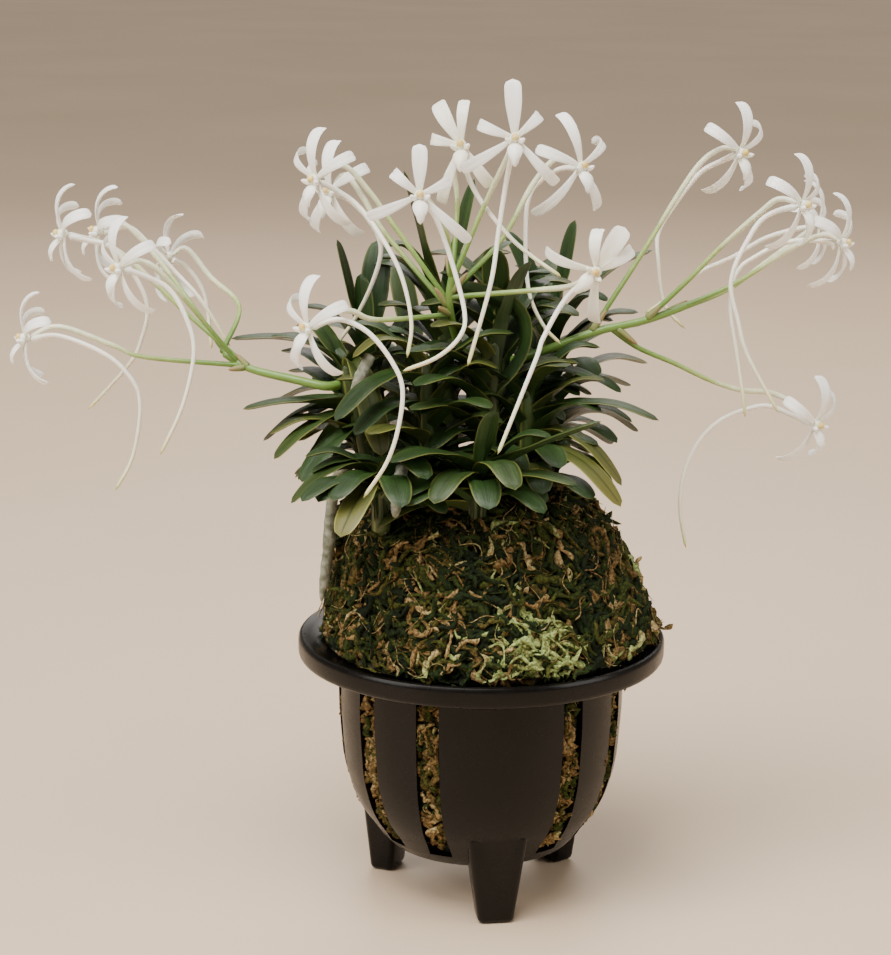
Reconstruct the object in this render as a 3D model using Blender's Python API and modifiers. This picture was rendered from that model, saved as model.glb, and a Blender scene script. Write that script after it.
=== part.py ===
"""Wind orchid with its flowers, standing in moss in a slotted three-legged pot.

Lengths in the tables are millimetres from the pot's axis at floor level: x to the right, y away from the
front, z up. The empty that carries everything shifts them so that the whole object is centred on the origin.
"""
import math
import random

import bmesh
import bpy
from mathutils import Matrix, Vector, noise

MM = 0.001
GAP = 0.3

# pot
POT_AXIS_X = 14.4
POT_AXIS_Y = -6.0
RIM_RADIUS = 52.5
RIM_TOP = 76.5
RIM_UNDERSIDE = 70.2
FLANGE_TOP = 74.4
MOUTH_RADIUS = 38.6
WALL_RADIUS = 40.8
BASE_RADIUS = 27.0
BASE_UNDERSIDE = 15.0
BASE_TOP = 17.4
DRAIN_RADIUS = 6.0
TURN_STEPS = 28
LEG_COUNT = 3
LEG_FIRST_DEG = 8.3
LEG_TOP = 27.0
LEG_TOP_WIDTH = 17.5
LEG_FOOT_WIDTH = 10.0
LEG_TOP_OUTER = 34.3
LEG_FOOT_OUTER = 32.7
LEG_TOP_INNER = 23.0
LEG_FOOT_INNER = 25.4
LEG_ROUNDING = 1.8
SLOT_POSITIONS = 12
SLOTS_PER_LEG = 4
SLOT_WIDTH = 6.8
SLOT_TOP = 69.0
SLOT_BOTTOM = 18.6
SLOT_INNER = 25.5

# moss
MOUND_TOP = 121.0
MOUND_RADIUS = 47.0
MOSS_STEPS = 32
RELIEF = 2.0
STRAND_COUNT = 14
STRAND_RADIUS = 1.3

# leaves
LEAF_WIDTH = 7.6
LEAF_THICKNESS = 0.95
LEAF_ROWS = (0.0, 0.28, 0.58, 0.85, 1.0)
FOLD_BASE_DEG = 62.0
FOLD_TIP_DEG = 14.0
STEM_RADIUS = 3.2
LEAF_START = 1.7

# flowers
TEPAL_LENGTH = 14.0
TEPAL_WIDTH = 3.5
TEPAL_THICKNESS = 0.7
TEPAL_START = 1.1
TEPAL_ROWS = (0.0, 0.4, 0.72, 1.0)
LIP_LENGTH = 8.0
LIP_WIDTH = 3.4
COLUMN_RADIUS = 1.7
SPUR_RADIUS = 0.85
SPUR_TIP_RADIUS = 0.55
PEDICEL_RADIUS = 0.85
GREEN_SHARE = 0.55
PEDUNCLE_RADIUS = 1.25
STALK_SAMPLES = 240


def point(x, y, z):
    return Vector((x, y, z)) * MM


def new_collection(name):
    collection = bpy.data.collections.new(name)
    bpy.context.scene.collection.children.link(collection)
    return collection


def new_material(name, colour, roughness):
    material = bpy.data.materials.new(name)
    material.use_nodes = True
    shader = material.node_tree.nodes["Principled BSDF"]
    shader.inputs["Base Color"].default_value = (*colour, 1.0)
    shader.inputs["Roughness"].default_value = roughness
    shader.inputs["Metallic"].default_value = 0.0
    return material


def mesh_object(name, bm, collection):
    """An object made from a bmesh, with its faces turned outward."""
    bmesh.ops.recalc_face_normals(bm, faces=bm.faces)
    mesh = bpy.data.meshes.new(name)
    bm.to_mesh(mesh)
    bm.free()
    obj = bpy.data.objects.new(name, mesh)
    collection.objects.link(obj)
    return obj


def as_plain_mesh(obj, name, collection):
    """The evaluated shape of a curve or of an object with modifiers, as a new mesh object."""
    depsgraph = bpy.context.evaluated_depsgraph_get()
    mesh = bpy.data.meshes.new_from_object(obj.evaluated_get(depsgraph))
    bm = bmesh.new()
    bm.from_mesh(mesh)
    bmesh.ops.remove_doubles(bm, verts=bm.verts, dist=0.000001)
    bm.to_mesh(mesh)
    bm.free()
    place = obj.matrix_world.copy()
    bpy.data.objects.remove(obj)
    plain = bpy.data.objects.new(name, mesh)
    plain.matrix_world = place
    collection.objects.link(plain)
    return plain


def smooth_route(knots, count):
    """Evenly spaced points on a smooth curve through the knots."""
    knots = [Vector(k) for k in knots]
    ends = [knots[0] * 2 - knots[1]] + knots + [knots[-1] * 2 - knots[-2]]
    fine = []
    for i in range(1, len(ends) - 2):
        a, b, c, d = ends[i - 1:i + 3]
        for step in range(16):
            t = step / 16
            fine.append(0.5 * (2 * b + (c - a) * t + (2 * a - 5 * b + 4 * c - d) * t * t
                               + (3 * b - a - 3 * c + d) * t ** 3))
    fine.append(knots[-1])
    reach = [0.0]
    for a, b in zip(fine, fine[1:]):
        reach.append(reach[-1] + (b - a).length)
    route = []
    j = 0
    for i in range(count):
        goal = reach[-1] * i / (count - 1)
        while j < len(fine) - 2 and reach[j + 1] < goal:
            j += 1
        part = (goal - reach[j]) / max(reach[j + 1] - reach[j], 1e-9)
        route.append(fine[j].lerp(fine[j + 1], min(part, 1.0)))
    return route


def tube(name, route, radii, roundness, collection):
    """A stalk along a route: a bevelled curve with closed ends, made a mesh so that it can be joined."""
    curve = bpy.data.curves.new(name, "CURVE")
    curve.dimensions = "3D"
    curve.bevel_depth = MM
    curve.bevel_resolution = roundness
    curve.use_fill_caps = True
    spline = curve.splines.new("POLY")
    spline.points.add(len(route) - 1)
    for spot, place, radius in zip(spline.points, route, radii):
        spot.co = (*(place * MM), 1.0)
        spot.radius = radius
    obj = bpy.data.objects.new(name, curve)
    collection.objects.link(obj)
    return as_plain_mesh(obj, name, collection)


def strip(name, columns, rows, shape, thickness, collection):
    """A blade: a grid bent by a formula, then given its thickness."""
    bm = bmesh.new()
    bmesh.ops.create_grid(bm, x_segments=columns, y_segments=len(rows) - 1, size=1.0)
    for vert in bm.verts:
        across = vert.co.x
        row = round((vert.co.y + 1) / 2 * (len(rows) - 1))
        vert.co = shape(rows[row], across) * MM
    obj = mesh_object(name, bm, collection)
    solid = obj.modifiers.new("thickness", "SOLIDIFY")
    solid.thickness = thickness * MM
    solid.offset = 0.0
    solid.use_even_offset = False
    return as_plain_mesh(obj, name, collection)


def keep_outer_shell(mesh):
    """Fill what a union seals and drop loose scraps: only the largest closed shell stays."""
    bm = bmesh.new()
    bm.from_mesh(mesh)
    left = set(bm.faces)
    shells = []
    while left:
        shell = {left.pop()}
        edge_of = list(shell)
        while edge_of:
            face = edge_of.pop()
            for edge in face.edges:
                for other in edge.link_faces:
                    if other in left:
                        left.discard(other)
                        shell.add(other)
                        edge_of.append(other)
        shells.append(shell)
    shells.sort(key=len)
    for shell in shells[:-1]:
        bmesh.ops.delete(bm, geom=list(shell), context="FACES")
    bm.to_mesh(mesh)
    bm.free()


def fuse(name, pieces, solver="EXACT"):
    """Join the pieces into the first one with a single Boolean union."""
    body = pieces[0]
    others = new_collection(name + "_pieces")
    for piece in pieces[1:]:
        for home in list(piece.users_collection):
            home.objects.unlink(piece)
        others.objects.link(piece)
    union = body.modifiers.new("union", "BOOLEAN")
    union.operation = "UNION"
    union.operand_type = "COLLECTION"
    union.collection = others
    union.solver = solver
    home = body.users_collection[0]
    joined = as_plain_mesh(body, name, home)
    keep_outer_shell(joined.data)
    for piece in list(others.objects):
        bpy.data.objects.remove(piece)
    bpy.data.collections.remove(others)
    return joined


def turned(name, profile, steps, collection):
    """A solid turned about the vertical axis from a profile that starts and ends on the axis."""
    bm = bmesh.new()
    verts = [bm.verts.new((r * MM, 0.0, z * MM)) for r, z in profile]
    for a, b in zip(verts, verts[1:]):
        bm.edges.new((a, b))
    mesh = bpy.data.meshes.new(name)
    bm.to_mesh(mesh)
    bm.free()
    obj = bpy.data.objects.new(name, mesh)
    collection.objects.link(obj)
    screw = obj.modifiers.new("turn", "SCREW")
    screw.axis = "Z"
    screw.steps = steps
    screw.render_steps = steps
    screw.use_merge_vertices = True
    screw.merge_threshold = 0.00001
    return obj


def finish(obj, material):
    """Place a finished node under the carrying empty, with its material and soft shading."""
    obj.data.materials.clear()
    obj.data.materials.append(material)
    obj.data.shade_smooth()
    obj.data.set_sharp_from_angle(angle=math.radians(40))
    obj.parent = carrier
    return obj


# scene
for old in list(bpy.data.objects):
    bpy.data.objects.remove(old)
plant = new_collection("wind_orchid")
cutters = new_collection("cutters")
carrier = bpy.data.objects.new("pot_axis", None)
carrier.location = point(POT_AXIS_X, POT_AXIS_Y, 0)
plant.objects.link(carrier)

black = new_material("pot_black", (0.012, 0.010, 0.009), 0.38)
moss_green = new_material("moss_green", (0.10, 0.095, 0.035), 0.95)
leaf_green = new_material("leaf_green", (0.03, 0.075, 0.02), 0.42)
spike_green = new_material("spike_green", (0.16, 0.26, 0.05), 0.5)
white = new_material("petal_white", (0.86, 0.84, 0.78), 0.55)
silver = new_material("root_silver", (0.42, 0.42, 0.36), 0.8)


# pot
WALL_OUTER = ((WALL_RADIUS, 55.0), (39.7, 41.0), (37.8, 33.0), (35.4, 27.0), (32.0, 22.0),
              (BASE_RADIUS, BASE_UNDERSIDE))
WALL_INNER = ((38.6, 55.0), (37.5, 41.0), (35.7, 33.6), (33.4, 28.2), (30.2, 23.6), (25.4, BASE_TOP))


def around(angle_deg, radius, side, height):
    """A point at an angle about the pot's axis, counted from the front toward the right."""
    angle = math.radians(angle_deg)
    out = Vector((math.sin(angle), -math.cos(angle), 0.0))
    along = Vector((math.cos(angle), math.sin(angle), 0.0))
    return out * radius + along * side + Vector((0.0, 0.0, height))


def radial_block(name, angle_deg, lower, upper, collection):
    """A block between two levels; each level gives height, inner radius, outer radius and width."""
    bm = bmesh.new()
    bmesh.ops.create_cube(bm, size=2.0)
    for vert in bm.verts:
        height, inner, outer, width = upper if vert.co.z > 0 else lower
        radius = outer if vert.co.x > 0 else inner
        vert.co = around(angle_deg, radius, math.copysign(width / 2, vert.co.y), height) * MM
    return mesh_object(name, bm, collection)


body_profile = [(0.0, FLANGE_TOP), (46.5, FLANGE_TOP), (51.2, RIM_TOP), (RIM_RADIUS, 75.2),
                (RIM_RADIUS, 71.4), (51.4, RIM_UNDERSIDE), (WALL_RADIUS, RIM_UNDERSIDE)]
body_profile += list(WALL_OUTER) + [(0.0, BASE_UNDERSIDE)]
pot_body = turned("pot", body_profile, TURN_STEPS, plant)
pot_pieces = [as_plain_mesh(pot_body, "pot", plant)]
for leg in range(LEG_COUNT):
    block = radial_block("leg", LEG_FIRST_DEG + 360 / LEG_COUNT * leg,
                         (0.0, LEG_FOOT_INNER, LEG_FOOT_OUTER, LEG_FOOT_WIDTH),
                         (LEG_TOP, LEG_TOP_INNER, LEG_TOP_OUTER, LEG_TOP_WIDTH), plant)
    rounding = block.modifiers.new("rounding", "BEVEL")
    rounding.width = LEG_ROUNDING * MM
    rounding.segments = 1
    rounding.limit_method = "ANGLE"
    rounding.angle_limit = math.radians(60)
    pot_pieces.append(as_plain_mesh(block, "leg", plant))
pot = fuse("pot", pot_pieces)

cavity = turned("pot_cavity", [(0.0, 90.0), (MOUTH_RADIUS, 90.0), (MOUTH_RADIUS, RIM_UNDERSIDE)]
                + list(WALL_INNER) + [(0.0, BASE_TOP)], TURN_STEPS, cutters)
slots = new_collection("slot_cutters")
fillers = new_collection("slot_fillers")
for k in range(SLOT_POSITIONS):
    if k % SLOTS_PER_LEG == 0:
        continue
    angle = LEG_FIRST_DEG + 360 / SLOT_POSITIONS * k
    radial_block("slot", angle, (SLOT_BOTTOM, SLOT_INNER, 50.0, SLOT_WIDTH),
                 (SLOT_TOP, SLOT_INNER, 50.0, SLOT_WIDTH), slots)
    radial_block("filler", angle, (SLOT_BOTTOM + GAP, SLOT_INNER + GAP, 50.0, SLOT_WIDTH - 2 * GAP),
                 (SLOT_TOP - GAP, SLOT_INNER + GAP, 50.0, SLOT_WIDTH - 2 * GAP), fillers)
bm = bmesh.new()
bmesh.ops.create_cone(bm, cap_ends=True, segments=16, radius1=DRAIN_RADIUS * MM, radius2=DRAIN_RADIUS * MM,
                      depth=10 * MM, matrix=Matrix.Translation(point(0, 0, BASE_UNDERSIDE)))
mesh_object("drain", bm, slots)


def cut(obj, operand, solver="EXACT"):
    """Cut one object or a whole collection of objects out of another."""
    hole = obj.modifiers.new("cut", "BOOLEAN")
    hole.operation = "DIFFERENCE"
    hole.solver = solver
    if isinstance(operand, bpy.types.Collection):
        hole.operand_type = "COLLECTION"
        hole.collection = operand
        shapes = operand.objects
    else:
        hole.object = operand
        shapes = [operand]
    for shape in shapes:
        shape.hide_render = True
        shape.display_type = "WIRE"


cut(pot, cavity)
cut(pot, slots)
pot = finish(as_plain_mesh(pot, "pot", plant), black)


# moss
def mound_radius(height):
    """The mound's outer radius at a height, from its widest level to its shoulder."""
    levels = ((76.0, 46.0), (79.0, MOUND_RADIUS), (86.0, 46.0), (98.0, 42.8), (106.0, 40.0), (112.0, 36.5),
              (117.0, 31.0), (120.0, 22.0))
    for (z0, r0), (z1, r1) in zip(levels, levels[1:]):
        if height <= z1:
            return r0 + (r1 - r0) * (height - z0) / (z1 - z0)
    return levels[-1][1]


def mound_shift(height):
    """The mound leans to the left with height."""
    return 3.0 - 7.5 * max(0.0, min(1.0, (height - 78.0) / 38.0))


def mound_point(angle_deg, height, raised):
    spot = around(angle_deg, mound_radius(height) + raised, 0.0, height)
    return spot + Vector((mound_shift(height), 0.0, 0.0))


moss_profile = [(0.0, MOUND_TOP), (11.0, MOUND_TOP)]
moss_profile += [(mound_radius(z), z) for z in (119.0, 115.0, 110.0, 104.0, 98.0, 92.0, 86.0, 79.5)]
moss_profile += [(44.5, FLANGE_TOP + GAP), (MOUTH_RADIUS - GAP, FLANGE_TOP + GAP), (MOUTH_RADIUS - GAP, 62.0)]
moss_profile += [(r - GAP, z + 0.1) for r, z in WALL_INNER[:-1]]
moss_profile += [(25.0, BASE_TOP + GAP), (0.0, BASE_TOP + GAP)]
moss = as_plain_mesh(turned("moss", moss_profile, MOSS_STEPS, plant), "moss", plant)
for vert in moss.data.vertices:
    spot = vert.co / MM
    if spot.z < FLANGE_TOP + 1.5:
        continue
    out = Vector((spot.x, spot.y, 0.0))
    bump = noise.noise(spot / 7.0) + 0.8 * noise.noise(spot / 4.0 + Vector((9.0, 0.0, 0.0)))
    if out.length > 25.0:
        spot += out.normalized() * bump * RELIEF * 1.4
    spot.z += 0.6 * bump * RELIEF
    spot.x += mound_shift(spot.z)
    vert.co = spot * MM

filling = as_plain_mesh(turned("filling", [(0.0, 69.5), (WALL_RADIUS - 0.5, 69.5)]
                               + [(r - 0.5, z) for r, z in WALL_OUTER] + [(0.0, BASE_UNDERSIDE)],
                               TURN_STEPS, plant), "filling", plant)
keep = filling.modifiers.new("keep", "BOOLEAN")
keep.operation = "INTERSECT"
keep.operand_type = "COLLECTION"
keep.collection = fillers
moss_pieces = [moss, as_plain_mesh(filling, "filling", plant)]
for piece in list(fillers.objects):
    bpy.data.objects.remove(piece)
bpy.data.collections.remove(fillers)

draw = random.Random(11)
for i in range(STRAND_COUNT):
    angle = i * 137.5
    height = 84.0 + 27.0 * ((i * 0.618) % 1.0)
    turn = draw.uniform(-1.0, 1.0)
    half = draw.uniform(5.0, 8.0)
    steps = (-1.0, -0.33, 0.33, 1.0)
    sway = draw.uniform(-14.0, 14.0)
    route = [mound_point(angle + (t * half * math.cos(turn) + sway * (1 - t * t) * 0.2) * 1.3,
                         max(79.0, height + t * half * math.sin(turn)), 1.4 - 2.2 * t * t) for t in steps]
    radii = [0.8 * STRAND_RADIUS, STRAND_RADIUS, STRAND_RADIUS, 0.7 * STRAND_RADIUS]
    moss_pieces.append(tube("strand", route, radii, 0, plant))
moss = fuse("moss", moss_pieces, "MANIFOLD")
holes = new_collection("stem_holes")


# leafy stems
def leaf(foot, tip, lift, width=LEAF_WIDTH, twist_deg=0.0):
    """A strap leaf, folded into a V at its foot and opening toward its rounded tip.

    lift is how far its arch is drawn out of the straight line, upward or as a sideways (x, y, z) offset."""
    foot = Vector(foot)
    tip = Vector(tip)
    level = Vector((tip.x - foot.x, tip.y - foot.y, 0.0)).normalized()
    foot += level * LEAF_START
    draw_out = Vector(lift) if isinstance(lift, tuple) else Vector((0.0, 0.0, lift))
    bend = foot.lerp(tip, 0.42) + draw_out * 2.0
    across_leaf = Vector((0.0, 0.0, 1.0)).cross(level)

    def shape(t, across):
        spot = foot * (1 - t) ** 2 + bend * 2 * t * (1 - t) + tip * t * t
        run = ((bend - foot) * (1 - t) + (tip - bend) * t).normalized()
        side = Matrix.Rotation(math.radians(twist_deg * t), 3, run) @ across_leaf
        face = run.cross(side)
        swell = 0.78 + 0.22 * math.sin(math.pi * min(t / 0.55, 1.0) / 2)
        taper = math.sqrt(max(0.0, 1.0 - max(0.0, (t - 0.62) / 0.4) ** 2.2))
        half = 0.5 * width * swell * max(taper, 0.1)
        fold = math.radians(FOLD_BASE_DEG + (FOLD_TIP_DEG - FOLD_BASE_DEG) * min(1.0, t / 0.5) ** 0.7)
        return spot + side * across * half * math.cos(fold) + face * abs(across) * half * math.sin(fold)

    return strip("leaf", 2, LEAF_ROWS, shape, LEAF_THICKNESS, plant)


def shoot(name, foot, top, leaves):
    """One leafy stem: it stands in a plain hole in the moss, with leaves given as foot height, tip and lift."""
    low = Vector((foot[0], foot[1], MOUND_TOP - 10.0))
    knee = Vector((foot[0], foot[1], MOUND_TOP - 1.0))
    top = Vector(top)
    route = [low, knee, knee.lerp(top, 0.5), top]
    pieces = [tube("stem", route, [STEM_RADIUS] * 3 + [STEM_RADIUS * 0.6], 1, plant)]
    for height, tip, lift, *rest in leaves:
        part = max(0.0, (height - knee.z) / (top.z - knee.z))
        start = knee.lerp(top, part)
        pieces.append(leaf(start, tip, lift, *rest))
    node = fuse(name, pieces)
    bm = bmesh.new()
    bmesh.ops.create_cone(bm, cap_ends=True, segments=10, radius1=(STEM_RADIUS + 0.5) * MM,
                          radius2=(STEM_RADIUS + 0.5) * MM, depth=24 * MM,
                          matrix=Matrix.Translation(point(foot[0], foot[1], low.z + 12.0 - GAP)))
    mesh_object("hole_" + name, bm, holes)
    return finish(node, leaf_green)


shoot("shoot_front", (-2, -29), (-2, -32, 134), [
    (131, (-25, -48, 137), 4), (127, (-22, -46, 127), 3), (131, (30, -50, 149), 1), (127, (24, -47, 131), 3),
    (132, (2, -42, 150), 2, 6.0)])
shoot("shoot_left_low", (-28, -29), (-28, -31, 133), [
    (130, (-52, -37, 123), 5), (131, (-47, -31, 130), 3), (127, (-38, -53, 118), 3)])
shoot("shoot_left", (-31, -5), (-39, -5, 158), [
    (143, (-67, -10, 143), 2), (141, (-62, -1, 132), 5), (139, (-58, -15, 130), 4), (137, (-52, -2, 121), 5),
    (135, (-50, -21, 125), 3), (155, (-28, -27, 134), 5), (155, (-60, 4, 161), 3)])
shoot("shoot_left_front", (-15, -18), (-16, -17, 161), [
    (152, (-40, -38, 146), 6), (144, (-35, -33, 141), 5), (136, (-31, -41, 143), 3), (158, (-36, -22, 160), 6)])
shoot("shoot_centre", (0, -11), (3, -10, 166), [
    (147, (-7, -9, 178), (14, -2, 6), LEAF_WIDTH, 70), (150, (-21, -29, 163), 5), (142, (-19, -35, 155), 6),
    (135, (-20, -33, 148), 5), (163, (12, -16, 186), 4)])
shoot("shoot_right", (12, -8), (12, -7, 152), [
    (140, (48, -16, 142), 5), (148, (22, -22, 158), 3), (134, (38, -18, 124), 7), (130, (37, -30, 121), 6),
    (145, (30, -1, 146), 4)])
shoot("shoot_right_back", (5, 9), (4, 9, 174), [
    (160, (26, -5, 169), 6), (166, (25, 8, 176), 5), (146, (31, -8, 152), 4), (141, (28, 6, 146), 5),
    (168, (2, 1, 187), 3), (160, (-18, -1, 171), 5), (150, (-20, -2, 158), 5)])
shoot("shoot_right_far", (20, 20), (19, 21, 166), [
    (160, (48, 20, 184), 5), (150, (44, 14, 167), 6), (141, (48, 26, 150), 6), (131, (46, 33, 128), 6),
    (162, (6, 31, 188), 4), (164, (26, 24, 192), 2)])
shoot("shoot_left_back", (-28, 13), (-33, 14, 160), [
    (150, (-72, 11, 159), 4), (156, (-42, 16, 187), 1), (158, (-30, 24, 186), 2), (153, (-35, 11, 178), 3),
    (138, (-62, 24, 137), 6), (129, (-54, 13, 118), 6)])
shoot("shoot_back", (-9, 14), (-12, 15, 176), [
    (170, (-23, 12, 207), 2), (172, (-3, 19, 204), 2), (166, (-30, 9, 183), 6), (154, (-25, 28, 162), 5),
    (164, (8, 22, 186), 5)])
shoot("shoot_rear_left", (-18, 27), (-19, 31, 152), [
    (144, (-52, 46, 158), 5), (139, (4, 48, 156), 6), (134, (-50, 50, 138), 6), (130, (-6, 62, 136), 6),
    (126, (-42, 58, 119), 6), (150, (-26, 44, 178), 2)])
shoot("shoot_rear_right", (13, 29), (14, 32, 150), [
    (143, (48, 46, 158), 5), (136, (45, 52, 138), 6), (131, (10, 66, 130), 7), (126, (40, 56, 119), 5),
    (148, (20, 46, 178), 2)])
cut(moss, holes, "MANIFOLD")
moss = finish(as_plain_mesh(moss, "moss", plant), moss_green)
keep_outer_shell(moss.data)


# flowers
def tepal(centre, out, front, length, width, curl_from, curl_to):
    """A narrow petal that leaves the centre outward and curls back along its length."""
    along = [(0.0, 0.0)]
    samples = 24
    for i in range(samples):
        heading = math.radians(curl_from + (curl_to - curl_from) * (i + 0.5) / samples)
        r, z = along[-1]
        along.append((r + math.cos(heading) * length / samples, z + math.sin(heading) * length / samples))
    across_petal = front.cross(out)

    def shape(t, across):
        r, z = along[round(t * samples)]
        swell = 0.38 + 0.62 * math.sin(math.pi * min(1.0, t / 0.5) / 2)
        half = 0.5 * width * swell * (1.0 - 0.7 * max(0.0, t - 0.55) / 0.45)
        return centre + out * r + front * z + across_petal * across * half

    return strip("tepal", 1, TEPAL_ROWS, shape, TEPAL_THICKNESS, plant)


TEPALS = ((90, 15, -95), (33, 10, -125), (147, 10, -125), (-60, 15, -75), (-120, 15, -75))


def bloom(name, spike, joint, centre, facing, roll, spur, stalk, size=1.0, changes=None):
    """One flower: five petals, lip, column, spur and the white end of its stalk.

    joint is where its stalk leaves the spike, from 0 at the foot to 1. facing gives the azimuth from the
    front toward the right and the rise, in degrees. spur and stalk are routes that leave the flower; the
    green end of the stalk is kept for the spike."""
    centre = Vector(centre)
    azimuth, rise = (math.radians(a) for a in facing)
    front = Vector((math.sin(azimuth) * math.cos(rise), -math.cos(azimuth) * math.cos(rise), math.sin(rise)))
    right = Vector((math.cos(azimuth), math.sin(azimuth), 0.0))
    right = Matrix.Rotation(math.radians(-roll), 3, front) @ right
    up = front.cross(right)
    pieces = []
    for i, (angle, curl_from, curl_to) in enumerate(TEPALS):
        if changes and i in changes:
            angle, curl_from, curl_to = changes[i]
        angle = math.radians(angle)
        out = right * math.cos(angle) + up * math.sin(angle)
        pieces.append(tepal(centre + out * TEPAL_START, out, front, TEPAL_LENGTH * size, TEPAL_WIDTH * size,
                            curl_from, curl_to))
    tongue = centre - up * 1.2 + front * 0.5

    def lip(t, across):
        drop = t * t * 3.5
        half = 0.5 * LIP_WIDTH * size * (1.0, 1.35, 0.7)[round(t * 2)]
        reach = t * LIP_LENGTH * 0.6
        return tongue + front * reach - up * (reach + drop * 0.4) + right * across * half

    pieces.append(strip("lip", 1, (0.0, 0.5, 1.0), lip, 0.9, plant))
    bm = bmesh.new()
    bmesh.ops.create_icosphere(bm, subdivisions=1, radius=COLUMN_RADIUS * size * MM,
                               matrix=Matrix.Translation((centre + front * 0.5) * MM))
    pieces.append(mesh_object("column", bm, plant))
    route = smooth_route([centre - front * 0.6 - up * 0.8] + [Vector(p) for p in spur], 8)
    radii = [SPUR_RADIUS + (SPUR_TIP_RADIUS - SPUR_RADIUS) * i / 7 for i in range(8)]
    pieces.append(tube("spur", route, radii, 0, plant))
    main = spike_routes[spike]
    route = smooth_route([centre - front * 0.8] + [Vector(p) for p in stalk]
                         + [main[round(joint * (len(main) - 1))]], STALK_SAMPLES)
    split = round((STALK_SAMPLES - 1) * (1.0 - GREEN_SHARE))
    step = (route[1] - route[0]).length
    skip = max(1, round(1.5 * GAP / step))
    white_part = smooth_route(route[:split + 1], 4)
    green_part = smooth_route(route[split + skip:], 4)
    pieces.append(tube("stalk", white_part, [PEDICEL_RADIUS] * 4, 0, plant))
    spikes[spike].append(tube("stalk", green_part, [PEDICEL_RADIUS] * 4, 0, plant))
    return finish(fuse(name, pieces), white)


spikes = {}
spike_routes = {}


def peduncle(spike, knots, bracts):
    """The main stalk of a spike, with a pointed bract at each place where a flower stalk leaves it."""
    route = smooth_route(knots, 7)
    radii = [PEDUNCLE_RADIUS * (1.1 - 0.25 * i / 6) for i in range(7)]
    spikes[spike] = [tube("peduncle", route, radii, 1, plant)]
    spike_routes[spike] = smooth_route(knots, 41)
    for joint, tip in bracts:
        foot = spike_routes[spike][round(joint * 40)]
        tip = Vector(tip)
        spikes[spike].append(tube("bract", [foot, foot.lerp(tip, 0.4), tip], [1.5, 1.5, 0.3], 0, plant))


peduncle("spike_left", [(-39.8, -8.2, 150), (-44, -11, 150), (-52, -10, 151.5), (-65, -7, 154), (-73, -4, 158)],
         [(0.74, (-69, -6, 158)), (0.92, (-75, -1, 161)), (0.78, (-71, -9, 154))])
bloom("bloom_left_1", "spike_left", 0.74, (-116, -5, 191), (-70, -8), 0,
      [(-110, -4, 189), (-102, -3, 186), (-94, -2, 172), (-96, -1, 160), (-100, -2, 153), (-111, -3, 141)],
      [(-102, 2, 185), (-84, 0, 169)])
bloom("bloom_left_2", "spike_left", 0.95, (-109, 15, 189), (-80, 0), 10,
      [(-101, 16, 190), (-95, 16, 185), (-87, 14, 177), (-80, 10.5, 170), (-72, 10, 157)],
      [(-102, 15, 191), (-91, 12, 180)])
bloom("bloom_left_3", "spike_left", 0.85, (-99, -20, 184), (-45, -10), 0,
      [(-94, -18, 182), (-86, -18, 178), (-81, -20, 170), (-79, -22, 161), (-82, -25, 147), (-88, -28, 134)],
      [(-93, -16, 185), (-86, -14, 179)])
bloom("bloom_left_4", "spike_left", 1.0, (-91, 29, 180), (-120, 0), 0,
      [(-86, 32, 176), (-81, 31, 168), (-79, 28, 153)],
      [(-86, 30, 182), (-79, 28, 174), (-70, 18, 167)], 0.95)
bloom("bloom_left_5", "spike_left", 0.8, (-127, -6, 162), (-75, -5), 0,
      [(-118, -8, 163), (-106, -10, 159), (-99, -12, 154), (-95, -13, 146), (-97, -14, 131), (-102, -16, 121)],
      [(-118, -5, 165), (-103, -6, 160), (-94, -7, 157)], 0.95)

peduncle("spike_centre", [(-0.6, -9.9, 158), (-6, -10.5, 160), (-8.5, -13, 166), (-10, -17, 175), (-9, -17, 183)],
         [(0.68, (-14, -18, 179)), (0.8, (-5, -17, 183)), (0.6, (-13, -20, 174)), (0.95, (-11, -14, 187))])
bloom("bloom_centre_1", "spike_centre", 0.72, (-46, -18, 208), (-38, -8), 0,
      [(-41, -16, 205), (-35, -17, 201), (-29, -21, 194), (-23, -27, 184), (-20, -33, 172), (-21, -37, 163)],
      [(-39, -12, 211), (-32, -11, 204), (-26, -12, 196)])
bloom("bloom_centre_2", "spike_centre", 0.66, (-43, -1, 203), (-30, -5), 0,
      [(-38, 2, 200), (-32, 1, 194), (-29, 0, 187), (-31, 1, 178), (-36, 4, 167), (-42, 5.5, 158)],
      [(-39, 1, 207), (-34, 0, 201), (-28, -4, 192)])
bloom("bloom_centre_3", "spike_centre", 0.95, (-18, -35, 206), (5, 0), 0,
      [(-14, -31, 200), (-10, -33, 190), (-6, -38, 176), (-7, -42, 170), (-13, -46, 165), (-22, -50, 162)],
      [(-15, -30, 203), (-11, -25, 195)])
bloom("bloom_centre_4", "spike_centre", 1.0, (-7, -15, 217), (-10, 5), -5,
      [(-5, -12, 208), (-1, -14, 201), (6, -18, 193), (12, -20, 188), (20, -24, 183)],
      [(-9, -8, 210), (-8, -9, 201)])
bloom("bloom_centre_5", "spike_centre", 0.88, (7, -25, 220), (0, 0), 0,
      [(5, -21, 208), (3, -24, 195), (1, -30, 182), (-5, -38, 161)],
      [(5, -20, 214), (-2, -16, 198)])
bloom("bloom_centre_6", "spike_centre", 0.8, (26, 0, 210), (25, 0), 0,
      [(21, 3, 209), (16, 5, 206), (12, 4, 201), (11, 0, 191), (12, -4, 176), (16, -8, 167), (21, -10, 162)],
      [(20, 4, 212), (13, 1, 205), (4, -6, 190)])
bloom("bloom_centre_7", "spike_centre", 0.78, (29, -32, 186), (-20, -15), 45,
      [(21, -30, 178), (15, -34, 168), (13, -38, 163), (3, -50, 140)],
      [(23, -26, 181), (13, -22, 179)])
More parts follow.
